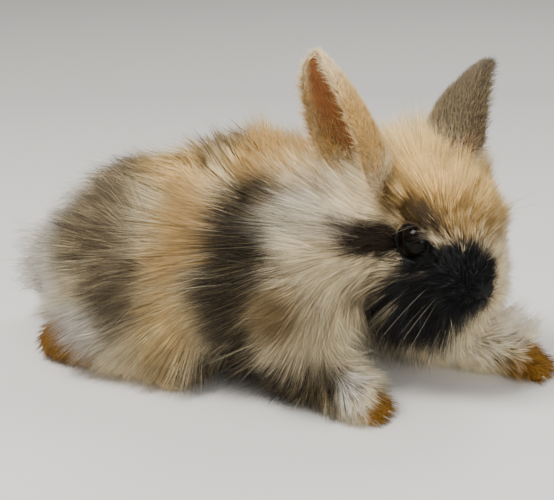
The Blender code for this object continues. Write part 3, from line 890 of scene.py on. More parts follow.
@dataclass
class Skin:
    """The one skin under the coat, with the folds of the face worked into it."""

    voxel: float = 0.85
    masses: tuple = (
        Ball((-45, 0, 29), (25, 20, 21)),
        Ball((-20, 0, 31), (30, 20, 24)),
        Ball((8, 0, 33), (24, 19, 22)),
        Ball((-8, 2, 50), (17, 11, 13)),
        Ball((-2, 0, 18.5), (26, 17, 13)),
        Limb((4, 1, 40), 16, (17, 3, 43), 14),
        Limb((17, 3, 43), 14, (34, 4, 45), 13),
        Limb((-66, 1, 24), 6.5, (-80, 1, 20), 5),
        Limb((-52, 0, 28), 12, (-68, 1, 24), 6),
        Ball((-6, 0, 3), (18, 17, 16), True),
        Ball((-9, 0, 8), (14, 12, 12), True),
        Ball((2, 0, 6), (13, 11, 11), True),
        Limb((3, 0, 2), 15.5, (16, 0, -3.0), 9.5, True),
        Limb((-2, 0, -7), 13.5, (13, 0, -9.5), 8.5, True),
        Ball((23.8, 0, -4.2), (3.4, 4.2, 3.2), True),
        Ball((13.0, 0, -15), (8, 6, 5), True),
    )

    def paired(self, side: Side) -> list:
        """The masses of one side.

        Args:
            side: Which side of the animal.

        Returns:
            Balls and limbs, the toes too.
        """
        s = side.value
        wrist, paw = FEET.fore(side)
        elbow = FEET.elbow(side)
        heel, middle, ball = FEET.hind(side)
        made = [
            Ball((-3, 9 * s, -7), (13, 8, 11), True),
            Ball((4, 9.5 * s, -8), (10, 7.5, 10), True),
            Ball((17.5, 4.2 * s, -8.0), (7, 5.6, 5.6), True),
            Ball((4, 8 * s, 2.5), (11, 8.6, 9), True),
            Ball((12, 15 * s, 27), (12, 8, 13)),
            Limb(tuple(elbow), 8.5, tuple(wrist), 6.0),
            Limb(tuple(wrist), 6.0, tuple(paw), FEET.fore_radius),
            Ball((-44, 17 * s, 26), (22, 13, 20)),
            Ball((-25, 20 * s, 18), (14, 10, 13)),
            Limb((-25, 22 * s, 14), 8, (-62, 24 * s, 10), 7),
            Limb(tuple(heel), 6.4, tuple(middle), 5.6),
            Limb(tuple(middle), 5.6, tuple(ball), 5.4),
        ]
        made += [Limb(tuple(base), radius, tuple(tip), radius) for base, tip, radius in FEET.toes(side)]
        return made

    def mesh(self, shop: Workshop) -> Mesh:
        """Melts the masses together and works the face.

        Args:
            shop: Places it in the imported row.

        Returns:
            The skin, made of triangles.
        """
        bm = bmesh.new()
        for mass in (*self.masses, *self.paired(Side.RIGHT), *self.paired(Side.LEFT)):
            mass.add(bm)
        rough = bpy.data.meshes.new("masses")
        bm.to_mesh(rough)
        bm.free()
        remesh = ("REMESH", {"mode": "VOXEL", "voxel_size": self.voxel, "use_smooth_shade": True})
        melted = evaluated(rough, remesh, ("SMOOTH", {"factor": 0.5, "iterations": 7}))
        bm = bmesh.new()
        bm.from_mesh(melted)
        self.keep_outer(bm)
        self.refine_face(bm)
        self.work_face(bm)
        for vert in bm.verts:
            vert.co.z = max(vert.co.z, 0.0)
        bmesh.ops.triangulate(bm, faces=bm.faces)
        bmesh.ops.recalc_face_normals(bm, faces=bm.faces)
        return shop.mesh_of(bm, "skin")

    @staticmethod
    def keep_outer(bm: BMesh) -> None:
        """Drops any shell but the largest.

        Args:
            bm: The bmesh to work on.
        """
        unseen = set(bm.faces)
        shells = []
        while unseen:
            shell = [unseen.pop()]
            for face in shell:
                for edge in face.edges:
                    for other in edge.link_faces:
                        if other in unseen:
                            unseen.remove(other)
                            shell.append(other)
            shells.append(shell)
        shells.sort(key=len)
        spare = [face for shell in shells[:-1] for face in shell]
        bmesh.ops.delete(bm, geom=spare, context="FACES")

    @staticmethod
    def refine_face(bm: BMesh) -> None:
        """Cuts the faces round the eyes, nose and mouth finer.

        Args:
            bm: The bmesh to work on.
        """
        inverse = HEAD.inverted()
        near = set()
        for vert in bm.verts:
            q = inverse @ vert.co
            muzzle = q.x > 11 and -19 < q.z < 2 and abs(q.y) < 11
            eye = min((q - sided(PLAN.eye_centre, side)).length for side in Side) < 9
            if muzzle or eye:
                near.add(vert)
        edges = [edge for edge in bm.edges if edge.verts[0] in near and edge.verts[1] in near]
        bmesh.ops.subdivide_edges(bm, edges=edges, cuts=1, use_grid_fill=True, smooth=0.3)
        fresh = [v for v in bm.verts if (inverse @ v.co).x > 0]
        bmesh.ops.smooth_vert(bm, verts=fresh, factor=0.4, use_axis_x=True, use_axis_y=True, use_axis_z=True)

    def work_face(self, bm: BMesh) -> None:
        """Opens the lids and sinks the nostrils, the split of the lip and the mouth.

        Args:
            bm: The bmesh to work on.
        """
        inverse = HEAD.inverted()
        tree = BVHTree.FromBMesh(bm)
        grooves = []
        for side in (-1, 1):
            grooves.append(([(1.5, -4.9), (2.6, -4.3), (3.3, -3.0)], 0.75, 1.3, side))
            grooves.append(([(0, -9.4), (3.2, -11.3), (5.8, -12.0), (8.0, -11.4)], 0.75, 1.2, side))
            grooves.append(([(0.4, -5.9), (2.2, -6.6), (3.6, -6.2)], 0.6, 0.5, side))
        grooves.append(([(0, -5.4), (0, -9.4)], 0.6, 1.1, 1))
        routes = []
        for route, radius, depth, side in grooves:
            spots = [self.on_face(tree, y * side, z) for y, z in route]
            routes.append((spots, radius, depth))
        for vert in bm.verts:
            q = inverse @ vert.co
            if q.x < -6:
                continue
            for spots, radius, depth in routes:
                reach = min(self.distance(q, a, b) for a, b in zip(spots, spots[1:]))
                if reach < radius * 1.6:
                    sink = depth * (1 - (reach / (radius * 1.6)) ** 2) ** 2
                    q = q - Vector((0.95, 0.12 * (1 if q.y > 0 else -1), 0.1)) * sink
            for side in Side:
                q = self.lid_spot(q, side)
            vert.co = HEAD @ q

    @staticmethod
    def on_face(tree: BVHTree, sideways: float, upwards: float) -> Vector:
        """Where the face's front lies, seen straight from ahead, in the head's frame.

        Args:
            tree: The skin.
            sideways: How far left.
            upwards: How far up.

        Returns:
            The place.
        """
        start = HEAD @ Vector((60, sideways, upwards))
        spot = tree.ray_cast(start, HEAD.to_3x3() @ Vector((-1, 0, 0)))[0]
        return HEAD.inverted() @ spot

    @staticmethod
    def distance(spot: Vector, start: Vector, end: Vector) -> float:
        """How far the spot lies from a length of groove.

        Args:
            spot: The spot.
            start: Where the length starts.
            end: Where it ends.

        Returns:
            The distance in millimetres.
        """
        way = end - start
        share = max(0.0, min(1.0, (spot - start).dot(way) / way.length_squared))
        return (spot - start - way * share).length

    @staticmethod
    def lid_spot(q: Vector, side: Side) -> Vector:
        """Moves a place of the skin off the eyeball, or behind it inside the lids' opening.

        Args:
            q: The place in the head's frame.
            side: Which eye.

        Returns:
            Where it goes.
        """
        centre = sided(PLAN.eye_centre, side)
        offset = q - centre
        outwards, along, above = PLAN.eye_axes(side)
        way = offset.normalized()
        if way.dot(outwards) < 0.1 or offset.length > PLAN.lid_reach:
            return q
        width, height = (size / PLAN.eye_radius for size in PLAN.lid_opening)
        reach = math.hypot(way.dot(along) / width, way.dot(above) / height)
        if reach < 1.0:
            return centre + way * (PLAN.eye_radius - PLAN.lid_depth)
        lid = PLAN.eye_radius + PLAN.lid_wall
        blend = max(0.0, min(1.0, (reach - 1.0) / 0.5))
        length = lid * (1 - blend) + max(lid, offset.length) * blend
        return centre + way * length


@dataclass
class Eye:
    """An eyeball with its cornea, and the dark rims of its lids."""

    side: Side
    cornea: float = 0.35
    cornea_edge: float = 0.95
    gap: float = 0.1
    rim: float = 0.45

    def ball(self, shop: Workshop, finish: EyeFinish) -> Object:
        """The eyeball, marked by the turn from its axis.

        Args:
            shop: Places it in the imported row.
            finish: The finish it takes.

        Returns:
            The piece.
        """
        outwards, _, _ = PLAN.eye_axes(self.side)
        turn = outwards.to_track_quat("Z", "Y").to_matrix().to_4x4()
        bm = bmesh.new()
        bmesh.ops.create_uvsphere(bm, u_segments=64, v_segments=40, radius=PLAN.eye_radius - self.gap)
        settle(bm)
        angles = []
        for vert in bm.verts:
            angle = vert.co.angle(Vector((0, 0, 1)))
            angles.append(angle / math.pi * 2)
            vert.co *= 1 + self.cornea / PLAN.eye_radius * max(0.0, 1 - (angle / self.cornea_edge) ** 2)
        bm.transform(HEAD @ Matrix.Translation(sided(PLAN.eye_centre, self.side)) @ turn)
        mesh = shop.mesh_of(bm, "eye_ball_" + self.side.word)
        layer = mesh.attributes.new("turn", "FLOAT", "POINT")
        layer.data.foreach_set("value", np.array(angles, np.float32))
        piece = shop.piece(mesh, "eyeball_" + self.side.word, "eye", finish.material())
        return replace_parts(piece, "eye_" + self.side.word)

    def opening(self, size: float, radius: float, points: int = 40) -> list[Vector]:
        """The line of the lids' edge on a ball of the given radius, in the head's frame.

        Args:
            size: Its size as a share of the lids' opening.
            radius: The ball's radius.
            points: How many places the line has.

        Returns:
            Those places.
        """
        outwards, along, above = PLAN.eye_axes(self.side)
        width, height = (value * size / PLAN.eye_radius for value in PLAN.lid_opening)
        spots = []
        for k in range(points):
            turn = 2 * math.pi * k / points
            x = width * math.cos(turn)
            y = height * math.sin(turn)
            way = along * x + above * y + outwards * math.sqrt(max(0.02, 1 - x * x - y * y))
            spots.append(sided(PLAN.eye_centre, self.side) + way.normalized() * radius)
        return spots

    def lid_rims(self, shop: Workshop, finish: PlainFinish) -> Object:
        """The bare edge of both lids.

        Args:
            shop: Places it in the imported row.
            finish: The finish it takes.

        Returns:
            The piece.
        """
        mesh = tube_mesh(self.opening(1.04, PLAN.eye_radius + 0.2), self.rim)
        bm = bmesh.new()
        bm.from_mesh(mesh)
        bm.transform(HEAD)
        mesh = shop.mesh_of(bm, "lid_rims")
        return shop.piece(mesh, "lid_rims_" + self.side.word, "face_coat", finish.material())


@dataclass
class Ear:
    """A thin cupped ear that starts as a tube and narrows to a round tip."""

    side: Side
    width: float = 25.5
    base_share: float = 0.22
    curls: Point = (240, 165, 118)
    point: float = 2.2
    wall: float = 1.1
    rows: int = 44
    columns: int = 24
    sunk: float = 0.1
    flesh: Point = (0.34, 0.12, 0.035)

    def line(self) -> tuple[list[Vector], Vector]:
        """Base, bend and tip in the head's frame, and the way that the cup opens.

        Returns:
            The three places, and a direction.
        """
        if self.side is Side.RIGHT:
            spine, opening = ((-12, -8.5, 9), (-21.5, -15.8, 33), (-27, -33.8, 50.9)), (-0.06, -0.99, 0.12)
        else:
            spine, opening = ((-12, 1.5, 12), (-15, -5.5, 40.5), (-19, 20.5, 43.7)), (0.40, 0.91, 0.05)
        return [Vector(place) for place in spine], Vector(opening)

    def frame_at(self, t: float) -> tuple[Vector, Vector, Vector]:
        """The middle, the way the cup faces and the way across it, at a share of the ear's length.

        Args:
            t: From 0 at the base to 1 at the tip.

        Returns:
            A place and two directions, in the head's frame.
        """
        (base, bend, tip), opening = self.line()
        centre = base * (1 - t) ** 2 + bend * 2 * t * (1 - t) + tip * t * t
        along = ((bend - base) * (1 - t) + (tip - bend) * t).normalized()
        facing = (opening - along * opening.dot(along)).normalized()
        return centre, facing, along.cross(facing)

    def spot(self, u: float, t: float) -> Vector:
        """A place on the ear, u from -1 to 1 across and t along.

        Args:
            u: From one rim to the other.
            t: From 0 at the base to 1 at the tip.

        Returns:
            The place in the head's frame.
        """
        centre, facing, across = self.frame_at(t)
        inside = min(1.0, max(0.0, t))
        curl = math.radians(np.interp(inside, (0, 0.5, 1), self.curls))
        if t < 0.5:
            flare = math.sin(math.pi * max(0.0, t)) ** 0.8
            width = self.width * (self.base_share + (1 - self.base_share) * flare)
        else:
            width = self.width * math.sqrt(max(1.001 - (2 * t - 1) ** self.point, 0.003))
        radius = max(0.8, width / 2 / math.sin(min(curl / 2, math.pi / 2)))
        turn = curl * u / 2
        ripple = 0.25 * math.sin(9 * t + 3 * u) * u * u
        deep = radius - radius * math.cos(turn) + ripple + 0.4 * self.wall
        return centre + facing * deep + across * radius * math.sin(turn)

    def sheet(self) -> tuple[BMesh, np.ndarray]:
        """The closed ear in the maker's frame, and (across, along) of each vertex.

        Returns:
            The bmesh, and one row for each vertex.
        """
        bm = bmesh.new()
        bmesh.ops.create_grid(bm, x_segments=self.columns, y_segments=self.rows, size=1)
        layer = bm.verts.layers.float_vector.new("place")
        for vert in bm.verts:
            u, t = vert.co.x, -self.sunk + (vert.co.y + 1) / 2 * (1 + self.sunk)
            vert[layer] = (u, t, 0)
            vert.co = HEAD @ self.spot(u, t)
        sides = 2 * len(bm.faces)
        bmesh.ops.solidify(bm, geom=bm.faces[:], thickness=self.wall)
        settle(bm, sides)
        bmesh.ops.triangulate(bm, faces=bm.faces)
        bmesh.ops.recalc_face_normals(bm, faces=bm.faces)
        places = np.array([tuple(vert[layer])[:2] for vert in bm.verts])
        bm.verts.layers.float_vector.remove(layer)
        return bm, places

    def piece(self, shop: Workshop, finish: HairFinish) -> tuple[Object, np.ndarray]:
        """The ear's own skin, pink inside and coat-coloured outside, and each vertex's place on it.

        Args:
            shop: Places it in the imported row.
            finish: The finish it takes.

        Returns:
            The piece, and one row for each of its vertices.
        """
        bm, places = self.sheet()
        mesh = shop.mesh_of(bm, "ear_" + self.side.word)
        surface = Surface.of(mesh, shop)
        inside = self.inside(surface.normals, places)
        jitter = 0.4 * waves(surface.points, 3, 9)
        coat = self.colours(places, jitter)[1]
        flesh = np.array(self.flesh) * (1 - 0.35 * ease(0.9, 0.2, places[:, 1]))[:, None]
        mix = (inside * (1 - ease(0.72, 1.0, np.abs(places[:, 0]))))[:, None]
        paint(mesh, coat * (1 - mix) + flesh * mix)
        obj = shop.piece(mesh, "ear_skin_" + self.side.word, "ear_coat", finish.material())
        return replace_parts(obj, "ear_" + self.side.word), places

    def inside(self, normals: np.ndarray, places: np.ndarray) -> np.ndarray:
        """1 where a vertex is on the hollow side of the cup and 0 outside.

        Args:
            normals: The way each vertex faces.
            places: Its place across and along the ear.

        Returns:
            One value for each vertex.
        """
        found = np.zeros(len(places))
        for n, (u, t) in enumerate(places):
            _, facing, across = self.frame_at(float(t))
            turn = math.radians(100) * float(u) / 2
            hollow = facing * math.cos(turn) - across * math.sin(turn)
            found[n] = (HEAD.to_3x3() @ hollow).dot(Vector(normals[n])) > 0
        return found

    def colours(self, places: np.ndarray, jitter: np.ndarray) -> tuple[np.ndarray, np.ndarray, np.ndarray]:
        """Root, shaft and tip colours of the hair at each place on the ear.

        Args:
            places: Places across and along the ear.
            jitter: How far each is off, by chance.

        Returns:
            Three tables of colours.
        """
        order = list(Hair)
        shares = np.zeros((len(places), len(order)))
        along = places[:, 1] + 0.06 * jitter
        edge = ease(0.62, 0.9, np.abs(places[:, 0]) + 0.05 * jitter)
        if self.side is Side.RIGHT:
            tip = ease(0.72, 0.95, along)
            shares[:, order.index(Hair.BLONDE)] = 0.65 * (1 - tip)
            shares[:, order.index(Hair.TAN)] = 0.35 * (1 - tip)
            shares[:, order.index(Hair.CREAM)] = tip
        else:
            shares[:, order.index(Hair.AGOUTI)] = 1 - 0.7 * edge
            shares[:, order.index(Hair.BLACK)] = 0.7 * edge
        base = ease(0.36, 0.20, along)
        shares *= 1 - base[:, None]
        shares[:, order.index(Hair.CREAM)] += base
        return tuple(shares @ hair_table(part) for part in ("root", "shaft", "tip"))


def paint(mesh: Mesh, colours: np.ndarray) -> None:
    """Stores the linear colour of each vertex as the mesh's marking.

    Args:
        mesh: The mesh to mark.
        colours: One colour for each vertex.
    """
    layer = mesh.color_attributes.new("marking", "FLOAT_COLOR", "POINT")
    filled = np.ones((len(colours), 4), np.float32)
    filled[:, :3] = colours
    layer.data.foreach_set("color", filled.ravel())


@dataclass
class Surface:
    """A triangle mesh as arrays in the maker's frame."""

    points: np.ndarray
    normals: np.ndarray
    triangles: np.ndarray

    @classmethod
    def of(cls, mesh: Mesh, shop: Workshop) -> "Surface":
        """Reads a mesh that lies in the row's frame.

        Args:
            mesh: The mesh.
            shop: Says how far the row lies from the maker's frame.

        Returns:
            The surface.
        """
        mesh.calc_loop_triangles()
        points = np.empty(len(mesh.vertices) * 3)
        normals = np.empty(len(mesh.vertices) * 3)
        triangles = np.empty(len(mesh.loop_triangles) * 3, int)
        mesh.vertices.foreach_get("co", points)
        mesh.vertices.foreach_get("normal", normals)
        mesh.loop_triangles.foreach_get("vertices", triangles)
        return cls(points.reshape(-1, 3) / MM - shop.shift, normals.reshape(-1, 3), triangles.reshape(-1, 3))

    def tree(self) -> BVHTree:
        """A tree for finding the nearest place."""
        return BVHTree.FromPolygons(self.points.tolist(), self.triangles.tolist())

    def scatter(self, chosen: np.ndarray, density: np.ndarray, count: int, rng: Generator) -> "Roots":
        """Places roots at random over some of the triangles.

        Args:
            chosen: The numbers of those triangles.
            density: How thick the roots stand on each, for its area.
            count: How many roots.
            rng: Where the chance comes from.

        Returns:
            The roots.
        """
        corners = self.points[self.triangles[chosen]]
        area = np.linalg.norm(np.cross(corners[:, 1] - corners[:, 0], corners[:, 2] - corners[:, 0]), axis=1)
        odds = area * density
        picked = rng.choice(len(chosen), size=count, p=odds / odds.sum())
        share = np.sqrt(rng.random(count))
        other = rng.random(count)
        weights = np.stack([1 - share, share * (1 - other), share * other], axis=1)
        spots = np.einsum("nk,nkd->nd", weights, corners[picked])
        normals = unit(np.einsum("nk,nkd->nd", weights, self.normals[self.triangles[chosen[picked]]]))
        return Roots(spots, normals, picked, weights)


@dataclass
class Roots:
    """Where hairs stand: place, normal, and the triangle and weights that give other values there."""

    spots: np.ndarray
    normals: np.ndarray
    picked: np.ndarray
    weights: np.ndarray

    def blend(self, values: np.ndarray) -> np.ndarray:
        """A value for each root, from those at the three corners of its triangle."""
        return np.einsum("nk,nkd->nd", self.weights, values)


class Zone(Enum):
    """The parts of the coat, each with its slot, number of hairs, rings, width, clump spacing and sway."""

    RUMP = ("tail_coat", 11500, 2, 0.32, 2.2, 1.0)
    BACK = ("body_coat", 12500, 2, 0.31, 2.0, 1.0)
    FLANK = ("flank_coat", 75000, 1, 0.22, 2.2, 1.35)
    BELLY = ("body_coat", 9000, 1, 0.36, 2.0, 1.35)
    MANE = ("mane_coat", 68000, 1, 0.20, 2.4, 1.35)
    CROWN = ("face_coat", 42000, 1, 0.21, 1.4, 1.9)
    JOWLS = ("face_coat", 34000, 1, 0.20, 1.7, 1.35)
    FACE = ("face_coat", 29000, 1, 0.20, 1.1, 1.9)
    FORELEGS = ("leg_coat", 19000, 1, 0.26, 1.6, 1.35)
    FEET = ("leg_coat", 11000, 1, 0.24, 1.2, 1.9)

    def __init__(self, slot: str, count: int, rings: int, width: float, clump: float, sway: float) -> None:
        """Names the row's values."""
        self.slot, self.count, self.rings = slot, count, rings
        self.width, self.clump, self.sway = width, clump, sway


@dataclass(frozen=True)
class Guide:
    """How the coat lies round one place: the way it is combed, its length and its depth at the tips.

    A guide off the middle stands for both sides, unless it says otherwise.
    """

    at: Point
    comb: Point
    length: float
    depth: float
    both: bool = True


HEAD_ZONES = (Zone.CROWN, Zone.JOWLS, Zone.FACE)
GUIDES = {
    Zone.RUMP: (
        Guide((-62, 0, 47), (-1, 0, -0.25), 20, 10),
        Guide((-68, -12, 34), (-1, 0, -0.5), 19, 9),
        Guide((-70, -9, 20), (-0.8, 0, -0.6), 14, 7),
        Guide((-76, 1, 28), (-1, 0, -0.1), 23, 13, both=False),
        Guide((-85, 1, 19), (-1, 0, -0.25), 21, 12, both=False),
        Guide((-74, 1, 13), (-1, 0, 0.1), 9, 3.5, both=False),
    ),
    Zone.BACK: (
        Guide((-46, 0, 51), (-1, 0, -0.05), 21, 11),
        Guide((-27, 0, 56), (-1, 0, 0.05), 21, 11),
        Guide((-14, -6, 61), (-0.6, 0, 0.7), 15, 13),
        Guide((-4, -5, 63), (-0.5, 0, 0.8), 15, 13),
        Guide((8, -4, 57), (-1, 0, 0.3), 17, 12),
    ),
    Zone.FLANK: (
        Guide((-58, -20, 36), (-1, 0, -0.25), 21, 10),
        Guide((-42, -26, 36), (-1, 0, -0.18), 22, 10.5),
        Guide((-56, -29, 20), (-1, 0, -0.1), 14, 8),
        Guide((-38, -31, 20), (-1, 0, -0.75), 21, 9),
        Guide((-50, -30, 13), (-1, 0, -0.2), 9, 5),
        Guide((-34, -18, 48), (-1, 0, -0.08), 22, 11),
        Guide((-18, -19, 42), (-1, 0, -0.22), 23, 11.5),
        Guide((-17, -28, 22), (-0.9, 0, -0.85), 20, 9),
        Guide((-3, -20, 32), (-1, 0, -0.6), 22, 10),
    ),
    Zone.BELLY: (
        Guide((-10, -17, 12), (-0.9, 0, -0.5), 14, 6),
        Guide((-6, -21, 15), (-0.3, -0.3, -1), 21, 12),
        Guide((5, -21, 13), (-0.3, -0.3, -1), 20, 12),
        Guide((0, -12, 8), (-0.3, -0.5, -1), 12, 9),
        Guide((-20, 0, 5), (-1, 0, 0), 8, 3),
        Guide((10, 0, 8), (-1, 0, 0), 9, 3.5),
        Guide((28, 0, 18), (-0.6, 0, -0.9), 14, 7),
        Guide((32, 0, 28), (-0.3, 0, -1), 18, 11),
        Guide((31, 12, 28), (0.1, 0.2, -1), 17, 10, both=False),
        Guide((26, -12, 22), (-0.3, -0.3, -1), 15, 8),
    ),
    Zone.MANE: (
        Guide((-2, -16, 50), (-1, 0, -0.25), 25, 13),
        Guide((10, -15, 54), (-1, -0.1, -0.2), 26, 14),
        Guide((12, -19, 42), (-1, -0.1, -0.55), 28, 14),
        Guide((16, -22, 30), (-0.9, -0.1, -0.8), 27, 12),
        Guide((26, -14, 34), (-0.9, -0.2, -0.9), 25, 12),
        Guide((22, -12, 50), (-1, -0.25, -0.3), 26, 14),
    ),
    Zone.CROWN: (
        Guide((-8, 0, 21), (-0.5, 0, 0.9), 13, 10.5),
        Guide((-16, -3, 16), (-1, 0, 0.4), 15, 11.5),
        Guide((2, -5, 19), (-0.6, -0.1, 0.8), 12, 9.5),
        Guide((9, -4, 15), (-0.4, -0.1, 0.9), 10.5, 8.5),
        Guide((14, -3, 10), (-0.4, 0, 0.9), 8.5, 6),
        Guide((2, -11, 15), (-0.6, -0.5, 0.6), 10.5, 8),
        Guide((8, -11, 11.5), (-0.4, -0.4, 0.8), 8, 4.8),
        Guide((-9, -14, 14), (-0.8, -0.4, 0.3), 14, 10),
        Guide((-16, -9, 17), (-0.5, -0.6, 0.7), 16, 13),
    ),
    Zone.JOWLS: (
        Guide((-5, -16, 5), (-1, -0.3, 0.1), 13, 8),
        Guide((-9, -15, 9), (-0.8, -0.5, 0.3), 16, 11),
        Guide((-14, -14, 4), (-1, -0.25, -0.2), 20, 11),
        Guide((-2, -17, -6), (-1, -0.3, -0.6), 17, 9.5),
        Guide((5, -17, -8), (-0.7, -0.4, -0.8), 13, 8),
        Guide((-6, -14, -16), (-0.9, -0.2, -0.9), 20, 11),
        Guide((4, -9, -20), (-0.2, -0.2, -1), 19, 15),
        Guide((10, -7, -19), (0.1, -0.1, -1), 17, 15),
        Guide((9, -14, -11), (-0.5, -0.3, -1), 15, 9),
        Guide((-4, 0, -22), (-0.8, 0, -0.9), 19, 11),
    ),
    Zone.FACE: (
        Guide((20, 0, 3), (-0.3, 0, 0.9), 5.5, 4.2),
        Guide((26, 0, -4), (-0.4, 0, 0.9), 1.3, 0.6),
        Guide((24.5, -3, -1), (-0.4, -0.2, 0.9), 2.8, 1.8),
        Guide((17, -7, 3), (-0.5, -0.1, 0.9), 5.5, 3.4),
        Guide((21, -7, -7), (-0.6, -0.7, -0.4), 6, 4),
        Guide((15, -10, -7), (-0.8, -0.5, -0.3), 8, 5),
        Guide((22, 0, -12), (-0.1, 0, -1), 6, 3.2),
        Guide((18, -6, -14), (-0.1, -0.2, -1), 13, 8.5),
        Guide((16, 0, -19), (0.2, 0, -1), 15, 13),
        Guide((12, -13, 2), (-0.7, -0.3, -0.3), 3.5, 1.8),
        Guide((5, -17, -3), (-1, -0.2, -0.4), 5, 2.4),
        Guide((-1, -17, 4), (-1, -0.1, 0.1), 6, 3),
        Guide((5, -15, 10.5), (-0.5, -0.3, 0.8), 6, 3.6),
    ),
    Zone.FORELEGS: (
        Guide((13, -24, 24), (-0.8, 0, -0.8), 18, 9),
        Guide((15, -26, 14), (-0.9, -0.1, -0.55), 18, 9, both=False),
        Guide((21, -28, 11), (-0.5, -0.2, -0.8), 11, 6, both=False),
        Guide((27, -28, 10), (0.1, -0.1, -0.7), 10, 5.5, both=False),
        Guide((36, -27, 10), (0.7, -0.2, -0.6), 10, 5.5, both=False),
        Guide((28, 24, 18), (-0.3, 0.1, -0.8), 13, 7, both=False),
        Guide((44, 24, 18), (0.6, -0.1, 0.6), 16, 13, both=False),
        Guide((57, 24, 15), (0.8, -0.1, 0.6), 16, 13, both=False),
        Guide((50, 18, 9), (0.5, -0.4, -0.6), 9, 5, both=False),
        Guide((67, 25, 12), (0.9, 0, 0.4), 13, 10, both=False),
        Guide((64, 18, 7), (0.9, -0.3, -0.4), 8, 4, both=False),
    ),
    Zone.FEET: (
        Guide((43, -25, 6), (1, 0, -0.35), 4, 1.6, both=False),
        Guide((76, 25, 7), (1, 0, -0.35), 4, 1.6, both=False),
        Guide((-66, -28, 6), (-0.5, -0.1, -0.8), 4.5, 2),
        Guide((-66, -27, 13), (-0.5, -0.1, -0.7), 4.5, 2),
        Guide((-59, -31, 12), (-0.6, -0.1, -0.7), 4.5, 2),
        Guide((-46, -31, 7), (0.3, -0.2, -0.8), 5, 2.2),
        Guide((-24, -29, 6), (1, 0, -0.3), 4.5, 1.8),
    ),
}


@dataclass
class Groom:
    """The guides as arrays, and what they say at any place."""

    power: float = 4.0

    def __post_init__(self) -> None:
        """Mirrors the guides and lays them out as arrays."""
        rows = []
        for number, zone in enumerate(Zone):
            for guide in GUIDES[zone]:
                for side in ((1, -1) if guide.both and guide.at[1] else (1,)):
                    at, comb = (np.array([x, y * side, z], float) for x, y, z in (guide.at, guide.comb))
                    if zone in HEAD_ZONES:
                        at, comb = from_head(at), HEAD_TURN @ comb
                    rows.append((*at, *(comb / np.linalg.norm(comb)), guide.length, guide.depth, number))
        table = np.array(rows)
        self.at, self.comb, self.size = table[:, :3], table[:, 3:6], table[:, 6:8]
        self.zones = table[:, 8].astype(int)

    def weights(self, points: np.ndarray) -> np.ndarray:
        """How much each guide says at each place.

        Args:
            points: Places in millimetres.

        Returns:
            One row for each place, which adds up to 1.
        """
        away = np.linalg.norm(points[:, None, :] - self.at[None], axis=2)
        near = 1 / (away + 1.0) ** self.power
        return near / near.sum(axis=1, keepdims=True)

    def zone_of(self, points: np.ndarray) -> np.ndarray:
        """The number of the zone that has most say at each place.

        Args:
            points: Places in millimetres.

        Returns:
            One number for each place.
        """
        weights = self.weights(points)
        say = np.stack([weights[:, self.zones == k].sum(axis=1) for k in range(len(Zone))], axis=1)
        return say.argmax(axis=1)

    def lay(self, points: np.ndarray) -> tuple[np.ndarray, np.ndarray, np.ndarray]:
        """The comb, length and depth at each place.

        Args:
            points: Places in millimetres.

        Returns:
            Three arrays.
        """
        weights = self.weights(points)
        size = weights @ self.size
        return unit(weights @ self.comb), size[:, 0], size[:, 1]


